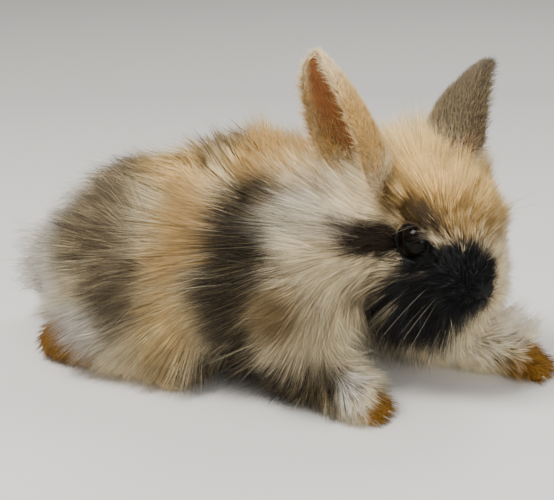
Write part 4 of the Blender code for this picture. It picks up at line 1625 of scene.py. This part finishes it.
@dataclass
class Tufts:
    """Many tapered, three-sided tufts: their paths, widths, colours and places on the unwrap."""

    paths: np.ndarray
    normals: np.ndarray
    widths: np.ndarray
    colours: np.ndarray
    unwrap: np.ndarray
    patch: float = 0.003
    flat: float = 0.55
    roll: float = 0.5
    lowest: float = 0.15

    def mesh(self, name: str, shop: Workshop, rng: Generator) -> Mesh:
        """Joins them to one mesh of triangles, each tuft closed.

        Args:
            name: The mesh's name.
            shop: Where the row's frame comes from.
            rng: Turns each tuft a little about its length.

        Returns:
            The mesh, with its marking and its OFBake map.
        """
        count, steps, _ = self.paths.shape
        rings = steps - 1
        ahead = unit(np.gradient(self.paths, axis=1))
        across = unit(np.cross(ahead, self.normals[:, None, :]))
        above = np.cross(across, ahead)
        roll = rng.normal(0, self.roll, count)[:, None, None]
        cosine, sine = np.cos(roll), np.sin(roll)
        across, above = across * cosine + above * sine, above * cosine - across * sine
        taper = np.linspace(1.0, 0.95 / rings + 0.25, rings)
        half = self.widths[:, None] / 2 * taper
        sides = np.radians([90, 210, 330])
        verts = np.empty((count, rings * 3 + 1, 3))
        for k in range(rings):
            for j, turn in enumerate(sides):
                offset = across[:, k] * math.cos(turn) + above[:, k] * math.sin(turn) * self.flat
                verts[:, k * 3 + j] = self.paths[:, k] + offset * half[:, k, None]
        verts[:, -1] = self.paths[:, -1]
        verts[:, :, 2] = np.maximum(verts[:, :, 2], self.lowest)
        faces = [(0, 2, 1)]
        for k in range(rings - 1):
            for j in range(3):
                a, b = k * 3 + j, k * 3 + (j + 1) % 3
                faces += [(a, b, b + 3), (a, b + 3, a + 3)]
        last = (rings - 1) * 3
        faces += [(last + j, last + (j + 1) % 3, last + 3) for j in range(3)]
        local = np.array(faces)
        corners = (local[None] + (np.arange(count) * verts.shape[1])[:, None, None]).reshape(-1)
        mesh = bpy.data.meshes.new(name)
        placed = (verts.reshape(-1, 3) + shop.shift) * MM
        mesh.vertices.add(len(placed))
        mesh.vertices.foreach_set("co", placed.astype(np.float32).ravel())
        mesh.loops.add(len(corners))
        mesh.loops.foreach_set("vertex_index", corners.astype(np.int32))
        mesh.polygons.add(len(corners) // 3)
        mesh.polygons.foreach_set("loop_start", np.arange(0, len(corners), 3, dtype=np.int32))
        mesh.update(calc_edges=True)
        mesh.shade_smooth()
        shades = np.repeat(self.colours[:, :-1], 3, axis=1)
        paint(mesh, np.concatenate([shades, self.colours[:, -1:]], axis=1).reshape(-1, 3))
        self.map_patches(mesh, rings, corners)
        return mesh

    def map_patches(self, mesh: Mesh, rings: int, corners: np.ndarray) -> None:
        """Writes the OFBake map: a small patch for each tuft at its root's place on the unwrap.

        Args:
            mesh: The tufts' mesh.
            rings: How many rings each tuft has.
            corners: The vertex of each corner of a face.
        """
        ends = np.array([(k / rings, j / 2) for k in range(rings) for j in range(3)] + [(1.0, 0.5)]) - 0.5
        spots = (self.unwrap[:, None, :] + ends[None] * self.patch).reshape(-1, 2)
        layer = mesh.uv_layers.new(name="OFBake")
        layer.uv.foreach_set("vector", np.clip(spots, 0, 1)[corners].astype(np.float32).ravel())


def tuft_widths(width: float, vary: float, most: float, count: int, rng: Generator) -> np.ndarray:
    return width * 1.0 * np.clip(rng.normal(1, vary, count), 0.5, most)


def unwrapped(surface: Surface, chosen: np.ndarray) -> np.ndarray:
    """An unwrap of some of the surface's triangles, filling the square: three places for each.

    Args:
        surface: The skin.
        chosen: The numbers of the triangles.

    Returns:
        Three places for each triangle.
    """
    corners = surface.points[surface.triangles[chosen]].reshape(-1, 3)
    mesh = bpy.data.meshes.new("unwrap")
    mesh.from_pydata(corners.tolist(), [], np.arange(len(corners)).reshape(-1, 3).tolist())
    bm = bmesh.new()
    bm.from_mesh(mesh)
    bmesh.ops.remove_doubles(bm, verts=bm.verts, dist=1e-4)
    bm.to_mesh(mesh)
    bm.free()
    obj = linked("unwrap", mesh)
    bpy.context.view_layer.objects.active = obj
    obj.select_set(True)
    bpy.ops.object.mode_set(mode="EDIT")
    bpy.ops.mesh.select_all(action="SELECT")
    bpy.ops.uv.smart_project(angle_limit=math.radians(66), island_margin=0.004)
    bpy.ops.object.mode_set(mode="OBJECT")
    spots = np.empty(len(mesh.loops) * 2)
    mesh.uv_layers.active.uv.foreach_get("vector", spots)
    if len(mesh.polygons) != len(chosen):
        raise ValueError("the unwrap lost a triangle")
    bpy.data.objects.remove(obj, do_unlink=True)
    return spots.reshape(-1, 3, 2) * 0.99 + 0.005


@dataclass
class Coat:
    """Grows tufts over the skin as the guides and the markings say."""

    surface: Surface
    shop: Workshop
    groom: Groom
    seed: int = 5
    hug: float = 0.72
    straight_hug: float = 0.92
    steepest: float = 0.97
    rise: float = 1.7
    sunk: float = 0.6
    clumping: float = 0.55
    seen: float = 0.7
    first_shade: float = 0.4
    shaft_at: float = 0.45
    size: Spread = Spread(0.16, ((0.14, 7, 11),))
    sway: Spread = Spread(0.11, ((0.13, 14, 12), (0.10, 5, 13)))
    loft: Spread = Spread(0.18, ((0.14, 6, 14),))
    bend: Spread = Spread(0.16, ((0.20, 10, 15),))

    def __post_init__(self) -> None:
        """Makes the tree and the source of chance."""
        self.tree = self.surface.tree()
        self.rng = np.random.default_rng(self.seed)

    def nearest(self, points: np.ndarray) -> tuple[np.ndarray, np.ndarray]:
        """The nearest place on the skin and its normal, for each point.

        Args:
            points: Places in millimetres.

        Returns:
            The places and the normals.
        """
        find = self.tree.find_nearest
        found = [find(point)[:2] for point in points.tolist()]
        flat = np.array([(*spot, *normal) for spot, normal in found])
        return flat[:, :3], flat[:, 3:]

    def paths(self, roots: Roots, zone: Zone) -> np.ndarray:
        """The line of each tuft from its sunk root to its tip, with one place more than it has rings.

        Args:
            roots: Where the hairs stand.
            zone: Says how many lengths each line has, and how wild it is.

        Returns:
            The lines.
        """
        spots, normals, rings = roots.spots, roots.normals, zone.rings
        hug = self.hug if rings > 1 else self.straight_hug
        comb, length, depth = self.groom.lay(spots)
        count = len(spots)
        vary = self.rng.normal(0, 1, (count, 3))
        size = np.clip(1 + self.size.at(vary[:, 0], spots), 0.45, 1.5)
        length, depth = length * size, depth * size
        sway = self.sway.at(vary[:, 1], spots) * zone.sway
        loft = np.clip(1 + self.loft.at(vary[:, 2], spots), 0.4, 1.45)
        depth = np.minimum(depth * loft, length * self.steepest)
        side = np.cross(normals, comb)
        comb = unit(comb + side * sway[:, None])
        bend = self.bend.at(self.rng.normal(0, 1, count), spots)
        paths = np.empty((count, rings + 1, 3))
        paths[:, 0] = spots - normals * self.sunk
        here, up = spots, normals
        height = np.zeros(count)
        piece = length / rings
        for k in range(1, rings + 1):
            target = depth * (1 - (1 - k / rings) ** self.rise)
            climb = np.minimum(target - height, piece * self.steepest)
            stride = np.sqrt(np.maximum(piece ** 2 - climb ** 2, 0))
            if k > 1:
                comb = unit(comb + side * bend[:, None])
            onward = flatten(comb, up)
            free = here + onward * stride[:, None] + up * climb[:, None]
            ground, found = self.nearest(free)
            height = height + climb
            laid = ground + found * height[:, None]
            here = laid * hug + free * (1 - hug)
            up = unit(found * 0.5 + up * 0.5)
            paths[:, k] = here
        return paths

    def gather(self, roots: Roots, paths: np.ndarray, spacing: float) -> tuple[np.ndarray, np.ndarray]:
        """Draws the tips of neighbours together, and says which clump each tuft is in.

        Args:
            roots: Where the hairs stand.
            paths: The line of each tuft.
            spacing: About how far apart the clumps are.

        Returns:
            The drawn lines, and a number for each.
        """
        count = len(roots.spots)
        area = max(1.0, count / max(1.0, spacing * spacing * 2.2))
        leaders = self.rng.choice(count, size=min(count, int(area)), replace=False)
        tree = KDTree(len(leaders))
        for n, leader in enumerate(leaders):
            tree.insert(roots.spots[leader], n)
        tree.balance()
        clump = np.array([tree.find(spot)[1] for spot in roots.spots.tolist()])
        lead = paths[leaders[clump]]
        share = np.linspace(0, 1, paths.shape[1]) ** 1.4 * self.clumping
        pull = share[None, :, None] * self.rng.uniform(0.5, 1.2, (count, 1, 1))
        away = np.linalg.norm(lead[:, 0] - paths[:, 0], axis=1)
        pull = pull * (away < spacing * 2)[:, None, None]
        return paths + (lead - paths) * np.clip(pull, 0, 0.9), clump

    def colours(self, roots: Roots, paths: np.ndarray, clump: np.ndarray) -> np.ndarray:
        """The colour of each tuft from root to tip.

        Args:
            roots: Where the hairs stand; not used.
            paths: The line of each tuft.
            clump: The clump that each is in.

        Returns:
            A colour for each place of each line.
        """
        count, steps, _ = paths.shape
        chance = self.rng.normal(0, 1, int(clump.max()) + 1)
        luck = self.rng.random(int(clump.max()) + 1)
        place = self.seen * (steps - 1)
        low = min(int(place), steps - 2)
        seen = paths[:, low] + (paths[:, low + 1] - paths[:, low]) * (place - low)
        shares = MARKINGS.kinds(seen, 0.8 * chance[clump] + 0.5 * self.rng.normal(0, 1, count))
        # Some hairs take the second pair of colours; in the black mask these are painted sheen.
        stray_and_sheen = (0.6 * luck[clump] + 0.4 * self.rng.random(count)) < shares @ hair_table("strays")
        root = shares @ hair_table("root")
        shaft = np.where(stray_and_sheen[:, None], shares @ hair_table("stray_shaft"), shares @ hair_table("shaft"))
        tip = np.where(stray_and_sheen[:, None], shares @ hair_table("stray_tip"), shares @ hair_table("tip"))
        level = 1 + 0.09 * chance[clump] + 0.08 * self.rng.normal(0, 1, count)
        level = np.clip(level, 0.6, 1.35)[:, None]
        # The root end is darker, partly by the hair's own colour and partly as painted shade deep in the
        # coat.
        along = np.linspace(self.first_shade if steps == 2 else 0.0, 1, steps)
        shades = np.empty((count, steps, 3))
        for k, share in enumerate(along):
            if share < self.shaft_at:
                low, high, blend = root, shaft, share / self.shaft_at
            else:
                low, high, blend = shaft, tip, (share - self.shaft_at) / (1 - self.shaft_at)
            shades[:, k] = (low * (1 - blend) + high * blend) * level
        return np.clip(shades, *SHADE_RANGE)

    def grow(self, zone: Zone, chosen: np.ndarray, name: str, count: int, finish: HairFinish) -> Object:
        """Covers some of the skin's triangles with one piece of coat.

        Args:
            zone: The part of the coat.
            chosen: The numbers of the triangles.
            name: The piece's name.
            count: How many tufts, before the bare places lose theirs.
            finish: The finish it takes.

        Returns:
            The piece.
        """
        density = np.ones(len(chosen))
        roots = self.surface.scatter(chosen, density, count, self.rng)
        keep = self.bare(roots.spots)
        roots = Roots(roots.spots[keep], roots.normals[keep], roots.picked[keep], roots.weights[keep])
        paths, clump = self.gather(roots, self.paths(roots, zone), zone.clump)
        shades = self.colours(roots, paths, clump)
        places = roots.blend(unwrapped(self.surface, chosen)[roots.picked])
        widths = tuft_widths(zone.width, 0.22, 1.7, len(paths), self.rng)
        tufts = Tufts(paths, roots.normals, widths, shades, places)
        return self.shop.piece(tufts.mesh(name, self.shop, self.rng), name, zone.slot, finish.material())

    def bare(self, spots: np.ndarray) -> np.ndarray:
        """True where hair may stand: not on the eyes, in the nostrils or along the mouth.

        Args:
            spots: Places on the skin.

        Returns:
            One answer for each.
        """
        local = to_head(spots)
        keep = np.ones(len(spots), bool)
        for side in Side:
            centre = np.array(sided(PLAN.eye_centre, side))
            outwards, along, above = (np.array(axis) for axis in PLAN.eye_axes(side))
            way = unit(local - centre)
            width, height = (size / PLAN.eye_radius for size in PLAN.lid_opening)
            reach = np.hypot(way @ along / width, way @ above / height)
            near = np.linalg.norm(local - centre, axis=1) < 9
            keep &= ~((reach < 1.1) & (way @ outwards > 0) & near)
        return keep & ~np.all((local > BARE_NOSE[0]) & (local < BARE_NOSE[1]), axis=1)

    def grow_all(self, finishes: dict[str, HairFinish]) -> None:
        """Covers the skin zone by zone, long zones as a right and a left piece.

        Args:
            finishes: The finish of each slot.
        """
        middles = self.surface.points[self.surface.triangles].mean(axis=1)
        zones = self.groom.zone_of(middles)
        share = 1.0
        for number, zone in enumerate(Zone):
            chosen = np.flatnonzero(zones == number)
            word = zone.name.lower()
            halves = [(word, chosen)]
            if zone in (Zone.FLANK, Zone.MANE):
                left = middles[chosen, 1] > 1
                halves = [(word + "_right", chosen[~left]), (word + "_left", chosen[left])]
            for word, part in halves:
                count = int(zone.count * share * len(part) / len(chosen))
                self.grow(zone, part, "coat_" + word, count, finishes[zone.slot])


RIM_HAIR = {Side.RIGHT: (0.78, 0.60, 0.36), Side.LEFT: (0.45, 0.35, 0.21)}


@dataclass
class EarCoat:
    """Short hair on an ear: dense outside, wispy along the rims and in the mouth of the cup."""

    ear: Ear
    count: int = 12000
    length: float = 3.6
    depth: float = 1.0
    width: float = 0.24
    seed: int = 8

    def grow(self, skin: Object, places: np.ndarray, shop: Workshop, finish: HairFinish) -> Object:
        """Covers the ear's skin.

        Args:
            skin: The ear's own skin.
            places: (across, along) of each of its vertices.
            shop: Places the piece.
            finish: The hair's finish.

        Returns:
            The piece of coat.
        """
        rng = np.random.default_rng(self.seed + self.ear.side.value)
        surface = Surface.of(skin.data, shop)
        inner = self.ear.inside(surface.normals, places)
        corners = surface.triangles
        across = np.abs(places[corners, 0]).mean(axis=1)
        along = places[corners, 1].mean(axis=1)
        inside = inner[corners].mean(axis=1)
        wisps = 0.12 + 0.9 * ease(0.75, 0.97, across) + 0.5 * ease(0.35, 0.05, along)
        density = np.where(inside > 0.5, wisps, 1.0 + 0.6 * ease(0.8, 1.0, across))
        density *= 0.15 + 0.85 * ease(0.02, 0.2, along)
        count = int(self.count * (1.0))
        roots = surface.scatter(np.arange(len(corners)), density, count, rng)
        spot_places = roots.blend(places[corners[roots.picked]])
        hollow = inside[roots.picked] > 0.5
        paths = self.paths(roots, spot_places, hollow, rng)
        jitter = rng.normal(0, 1, len(paths))
        root, shaft, tip = self.ear.colours(spot_places, jitter)
        pale = np.array(RIM_HAIR[self.ear.side])
        rim = (ease(0.6, 0.9, np.abs(spot_places[:, 0])) * hollow)[:, None]
        shaft = np.where(hollow[:, None], shaft * (1 - rim) + pale * rim, shaft)
        level = np.clip(1 + 0.12 * jitter, 0.6, 1.4)[:, None]
        if self.ear.side is Side.LEFT:
            stray_and_sheen = (rng.random(len(paths)) < Hair.AGOUTI.value.strays)[:, None]
            shaft = np.where(stray_and_sheen, np.array(Hair.AGOUTI.value.stray_shaft), shaft)
        # Each ring takes some of the darker root colour: partly the hair's own colour, partly painted shade
        # deep in the coat.
        shades = np.stack([(root * 0.4 + shaft * 0.6) * level, (shaft * 0.4 + tip * 0.6) * level], axis=1)
        spots = roots.blend(unwrapped(surface, np.arange(len(corners)))[roots.picked])
        widths = tuft_widths(self.width, 0.2, 1.6, len(paths), rng)
        tufts = Tufts(paths, roots.normals, widths, np.clip(shades, *SHADE_RANGE), spots)
        name = "coat_ear_" + self.ear.side.word
        return shop.piece(tufts.mesh(name, shop, rng), name, "ear_coat", finish.material())

    def paths(self, roots: Roots, places: np.ndarray, hollow: np.ndarray, rng: Generator) -> np.ndarray:
        """The line of each hair: towards the ear's tip, and outwards over the rims.

        Args:
            roots: Where the hairs stand.
            places: Each root's place across and along the ear.
            hollow: True for those inside the cup.
            rng: Where the chance comes from.

        Returns:
            The lines.
        """
        count = len(places)
        combs = np.empty((count, 3))
        for n, (u, t) in enumerate(places.tolist()):
            combs[n] = tuple(self.ear.spot(u, t + 0.03) - self.ear.spot(u, t))
            rim = max(0.0, (abs(u) - 0.75) / 0.25)
            combs[n] = combs[n] / max(1e-6, np.linalg.norm(combs[n]))
            if rim:
                way = self.ear.spot(u, t) - self.ear.spot(u * 0.9, t)
                combs[n] += 0.8 * rim * np.array(way.normalized())
        combs = flatten(combs @ HEAD_TURN.T + 0.22 * rng.normal(0, 1, (count, 3)), roots.normals)
        base = ease(0.3, 0.0, places[:, 1])
        length = self.length * np.clip(rng.normal(1, 0.25, count), 0.4, 1.8) * (1 + 1.2 * base)
        length *= np.where(hollow, 1.15, 1.0) * (1 - 0.35 * ease(0.75, 1.0, places[:, 1]))
        depth = self.depth * np.clip(rng.normal(1, 0.35, count), 0.2, 2.2) * (1 + 1.4 * base)
        paths = np.empty((count, 2, 3))
        paths[:, 0] = roots.spots - roots.normals * 0.25
        paths[:, 1] = roots.spots + combs * (0.96 * length)[:, None] + roots.normals * depth[:, None]
        return paths


@dataclass
class Whiskers:
    """Long pale whiskers that droop from the pads, and a few over each eye."""

    side: Side
    count: int = 8
    steps: int = 7
    width: float = 0.10
    colour: Point = (0.62, 0.54, 0.42)

    def grow(self, skin: Surface, shop: Workshop, finish: HairFinish) -> Object:
        """Grows one side's whiskers from the skin.

        Args:
            skin: The skin that they grow from.
            shop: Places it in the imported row.
            finish: The finish it takes.

        Returns:
            The piece.
        """
        rng = np.random.default_rng(31 + self.side.value)
        tree = skin.tree()
        paths = []
        for n in range(self.count + 3):
            brow = n >= self.count
            if brow:
                start = Vector((7 + 1.5 * (n - self.count), 20, 12))
                way = Vector((0.5, 0.8, 0.7 - 0.2 * (n - self.count)))
                length = rng.uniform(13, 19)
            else:
                start = Vector((19.5 - 2.2 * (n % 4), 14, -5.5 - 2.0 * (n // 4)))
                way = Vector((0.1 - 0.16 * (n % 4), 0.7, -0.55 - 0.3 * (n // 4)))
                length = rng.uniform(18, 28)
            root = tree.find_nearest(HEAD @ Vector((start.x, start.y * self.side.value, start.z)))[0]
            way = Vector((way.x, way.y * self.side.value, way.z)) + Vector(rng.normal(0, 0.08, 3))
            way = (HEAD.to_3x3() @ way).normalized()
            here, path = root - way * 0.5, []
            for _ in range(self.steps + 1):
                path.append(tuple(here))
                here = here + way * (length / self.steps)
                way = (way + Vector((-0.03, 0, -0.085 if not brow else -0.03))).normalized()
            paths.append(path)
        paths = np.array(paths)
        paths[:, :, 2] = np.maximum(paths[:, :, 2], 0.6)
        count = len(paths)
        normals = np.tile((0.3, 0.2, 1.0), (count, 1))
        shades = np.tile(self.colour, (count, self.steps + 1, 1))
        shades *= np.linspace(0.05, 1.0, self.steps + 1)[None, :, None] ** 0.8
        spots = np.stack([np.linspace(0.05, 0.95, count), np.full(count, 0.5)], axis=1)
        tufts = Tufts(paths, normals, np.full(count, self.width), shades, spots, flat=1.0)
        name = "whiskers_" + self.side.word
        return shop.piece(tufts.mesh(name, shop, rng), name, "face_coat", finish.material())


@dataclass
class Claws:
    """Small curved claws, half hidden in the hair of the toes."""

    length: float = 3.4
    radius: float = 0.75

    def piece(self, shop: Workshop, finish: PlainFinish) -> Object:
        """All claws as one piece.

        Args:
            shop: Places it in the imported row.
            finish: The finish it takes.

        Returns:
            The piece.
        """
        bm = bmesh.new()
        up = Vector((0, 0, 1))
        for side in Side:
            for base, tip, radius in FEET.toes(side):
                ahead = (tip - base).to_2d().to_3d().normalized()
                one = bmesh.new()
                ends = {"radius1": self.radius, "radius2": 0.08, "depth": self.length}
                bmesh.ops.create_cone(one, cap_ends=True, cap_tris=True, segments=10, **ends)
                lengths = [e for e in one.edges if abs(e.verts[0].co.z - e.verts[1].co.z) > self.length / 2]
                bmesh.ops.subdivide_edges(one, edges=lengths, cuts=4)
                for vert in one.verts:
                    share = vert.co.z / self.length + 0.5
                    vert.co.y *= 0.75
                    vert.co.y -= 0.9 * share * share
                turn = Matrix((ahead.cross(up), up, ahead)).transposed().to_4x4()
                centre = tip + ahead * (radius * 0.72 + self.length * 0.3)
                centre.z = 1.9
                one.transform(Matrix.Translation(centre) @ turn)
                bmesh.ops.recalc_face_normals(one, faces=one.faces)
                absorb(bm, one)
        for vert in bm.verts:
            vert.co.z = max(vert.co.z, 0.1)
        return shop.piece(shop.mesh_of(bm, "claws"), "claws", "leg_coat", finish.material())


NEAR_FLOOR = (0.80, 0.79, 0.775, 1)
FAR_FLOOR = (0.56, 0.555, 0.54, 1)


@dataclass
class Studio:
    """Pale floor, soft lights and the camera at the photograph's angle."""

    azimuth: float = math.radians(25)
    elevation: float = math.radians(18)
    spot: Point = (163.6, -351.9, 163.7)
    pixels: float = 1311.0
    frame_width: int = 554
    cloth_edge: float = 0.03
    cloth_fade: float = 0.40

    def camera(self, shop: Workshop) -> None:
        """Sets the camera.

        Args:
            shop: Says how far the row lies from the maker's frame.
        """
        data = bpy.data.cameras.new("camera")
        data.sensor_width = 36.0
        data.lens = self.pixels / self.frame_width * data.sensor_width
        data.clip_start = 0.01
        data.clip_end = 20.0
        obj = linked("camera", data)
        back = Vector((
            math.sin(self.azimuth) * math.cos(self.elevation),
            -math.cos(self.azimuth) * math.cos(self.elevation),
            math.sin(self.elevation),
        ))
        right = Vector((math.cos(self.azimuth), math.sin(self.azimuth), 0))
        obj.matrix_world = Matrix((right, back.cross(right), back)).transposed().to_4x4()
        obj.location = (Vector(self.spot) + Vector(shop.shift)) * MM
        bpy.context.scene.camera = obj

    def floor(self) -> Object:
        """A wide pale floor, white near the animal and greyer beyond it.

        Returns:
            The floor.
        """
        bm = bmesh.new()
        bmesh.ops.create_grid(bm, x_segments=8, y_segments=8, size=3.0)
        mesh = bpy.data.meshes.new("floor")
        bm.to_mesh(mesh)
        bm.free()
        obj = linked("floor", mesh)
        made, wiring, shader = new_material("pale_floor")
        place = wiring.add("TexCoord").outputs["Object"]
        ahead = (-math.sin(self.azimuth), math.cos(self.azimuth), 0)
        depth = wiring.add("VectorMath", {0: place, 1: ahead}, operation="DOT_PRODUCT")
        limits = {"From Min": self.cloth_edge, "From Max": self.cloth_edge + self.cloth_fade}
        beyond = wiring.add("MapRange", {**limits, "Value": depth.outputs["Value"]})
        tones = {"A": NEAR_FLOOR, "B": FAR_FLOOR, "Factor": beyond.outputs["Result"]}
        tone = wiring.add("Mix", tones, data_type="RGBA")
        wiring.feed(shader, {"Base Color": tone.outputs["Result"], "Roughness": 0.85})
        mesh.materials.append(made)
        obj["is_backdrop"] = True
        return obj

    def lamp(self, name: str, place: Point, size: float, power: float, warmth: Point = (1, 1, 1)) -> None:
        """A soft square lamp that faces the animal.

        Args:
            name: Its name.
            place: Where it hangs, in metres.
            size: Its width in metres.
            power: Its power in watts.
            warmth: Its colour.
        """
        data = bpy.data.lights.new(name, "AREA")
        data.shape = "SQUARE"
        data.size = size
        data.energy = power
        data.color = warmth
        obj = linked(name, data)
        obj.location = place
        obj.rotation_euler = (Vector((0, 0, 0.03)) - Vector(place)).to_track_quat("-Z", "Y").to_euler()

    def lights(self) -> None:
        """A broad lamp above, a weaker one at the camera's right, and pale surroundings."""
        self.lamp("key", (-0.25, -0.40, 0.95), 0.42, 13.0, (1.0, 0.96, 0.90))
        self.lamp("fill", (0.75, -0.55, 0.32), 0.45, 4.2, (1.0, 0.985, 0.96))
        self.lamp("rim", (0.1, 0.7, 0.8), 0.5, 4.0, (1.0, 0.98, 0.95))
        world = bpy.data.worlds.new("surroundings")
        world.use_nodes = True
        world.node_tree.nodes["Background"].inputs["Color"].default_value = (0.90, 0.885, 0.865, 1)
        world.node_tree.nodes["Background"].inputs["Strength"].default_value = 0.50
        bpy.context.scene.world = world


def dress_skin(shop: Workshop) -> Surface:
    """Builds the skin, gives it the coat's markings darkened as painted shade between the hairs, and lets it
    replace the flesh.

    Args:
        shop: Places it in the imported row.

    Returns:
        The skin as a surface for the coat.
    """
    mesh = Skin().mesh(shop)
    surface = Surface.of(mesh, shop)
    shares = MARKINGS.kinds(surface.points, np.zeros(len(surface.points)))
    # The skin takes the coat's colours, darkened towards the root colour as painted shade in the gaps
    # between the hairs.
    tone = 0.45 * shares @ hair_table("root") + 0.45 * shares @ hair_table("shaft")
    paint(mesh, tone)
    finish = HairFinish("skin_under_coat", 0.7, mottle=0.3, scale=900.0, bump=0.35, bump_scale=1500.0)
    skin = shop.piece(mesh, "skin", "body_coat", finish.material())
    flesh = ["head", "neck", "torso", "tail"]
    flesh += [part + side.word for part in ("fore_leg_", "hind_leg_", "hind_foot_") for side in Side]
    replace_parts(skin, *flesh)
    return surface


def main() -> None:
    """Loads the frame, builds the rabbit piece by piece and sets the studio."""
    logging.basicConfig(level=logging.INFO, format="%(message)s")
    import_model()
    shop = Workshop(PLAN.origin())
    studio = Studio()
    studio.camera(shop)
    surface = dress_skin(shop)
    coats = {
        "tail_coat": HairFinish("tail_hair", mottle=0.12),
        "body_coat": HairFinish("back_hair", mottle=0.16),
        "flank_coat": HairFinish("flank_hair", mottle=0.18),
        "mane_coat": HairFinish("mane_hair", mottle=0.12, roughness=0.55),
        "face_coat": HairFinish("face_hair", mottle=0.14, scale=420.0),
        "leg_coat": HairFinish("leg_hair", mottle=0.2, scale=420.0),
        "ear_coat": HairFinish("ear_hair", mottle=0.16, scale=500.0),
    }
    rims = PlainFinish("lid_edge", (0.003, 0.003, 0.003), (0.007, 0.006, 0.006), 0.7, specular=0.12)
    for side in Side:
        eye = Eye(side)
        eye.ball(shop, EyeFinish())
        eye.lid_rims(shop, rims)
        ear = Ear(side)
        skin_finish = HairFinish("ear_skin_" + side.word, 0.55, mottle=0.16, scale=350.0, bump=0.15)
        skin, places = ear.piece(shop, skin_finish)
        EarCoat(ear).grow(skin, places, shop, coats["ear_coat"])
        Whiskers(side).grow(surface, shop, HairFinish("whisker_hair", mottle=0.05, roughness=0.4))
    Coat(surface, shop, Groom()).grow_all(coats)
    Claws().piece(shop, PlainFinish("claw_horn", (0.30, 0.22, 0.14), (0.46, 0.36, 0.25), roughness=0.35))
    studio.floor()
    studio.lights()
    total = sum(len(piece.data.loop_triangles) or len(piece.data.polygons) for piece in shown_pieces())
    LOG.info("the whole has about %d faces", total)


if __name__ == "__main__":
    main()
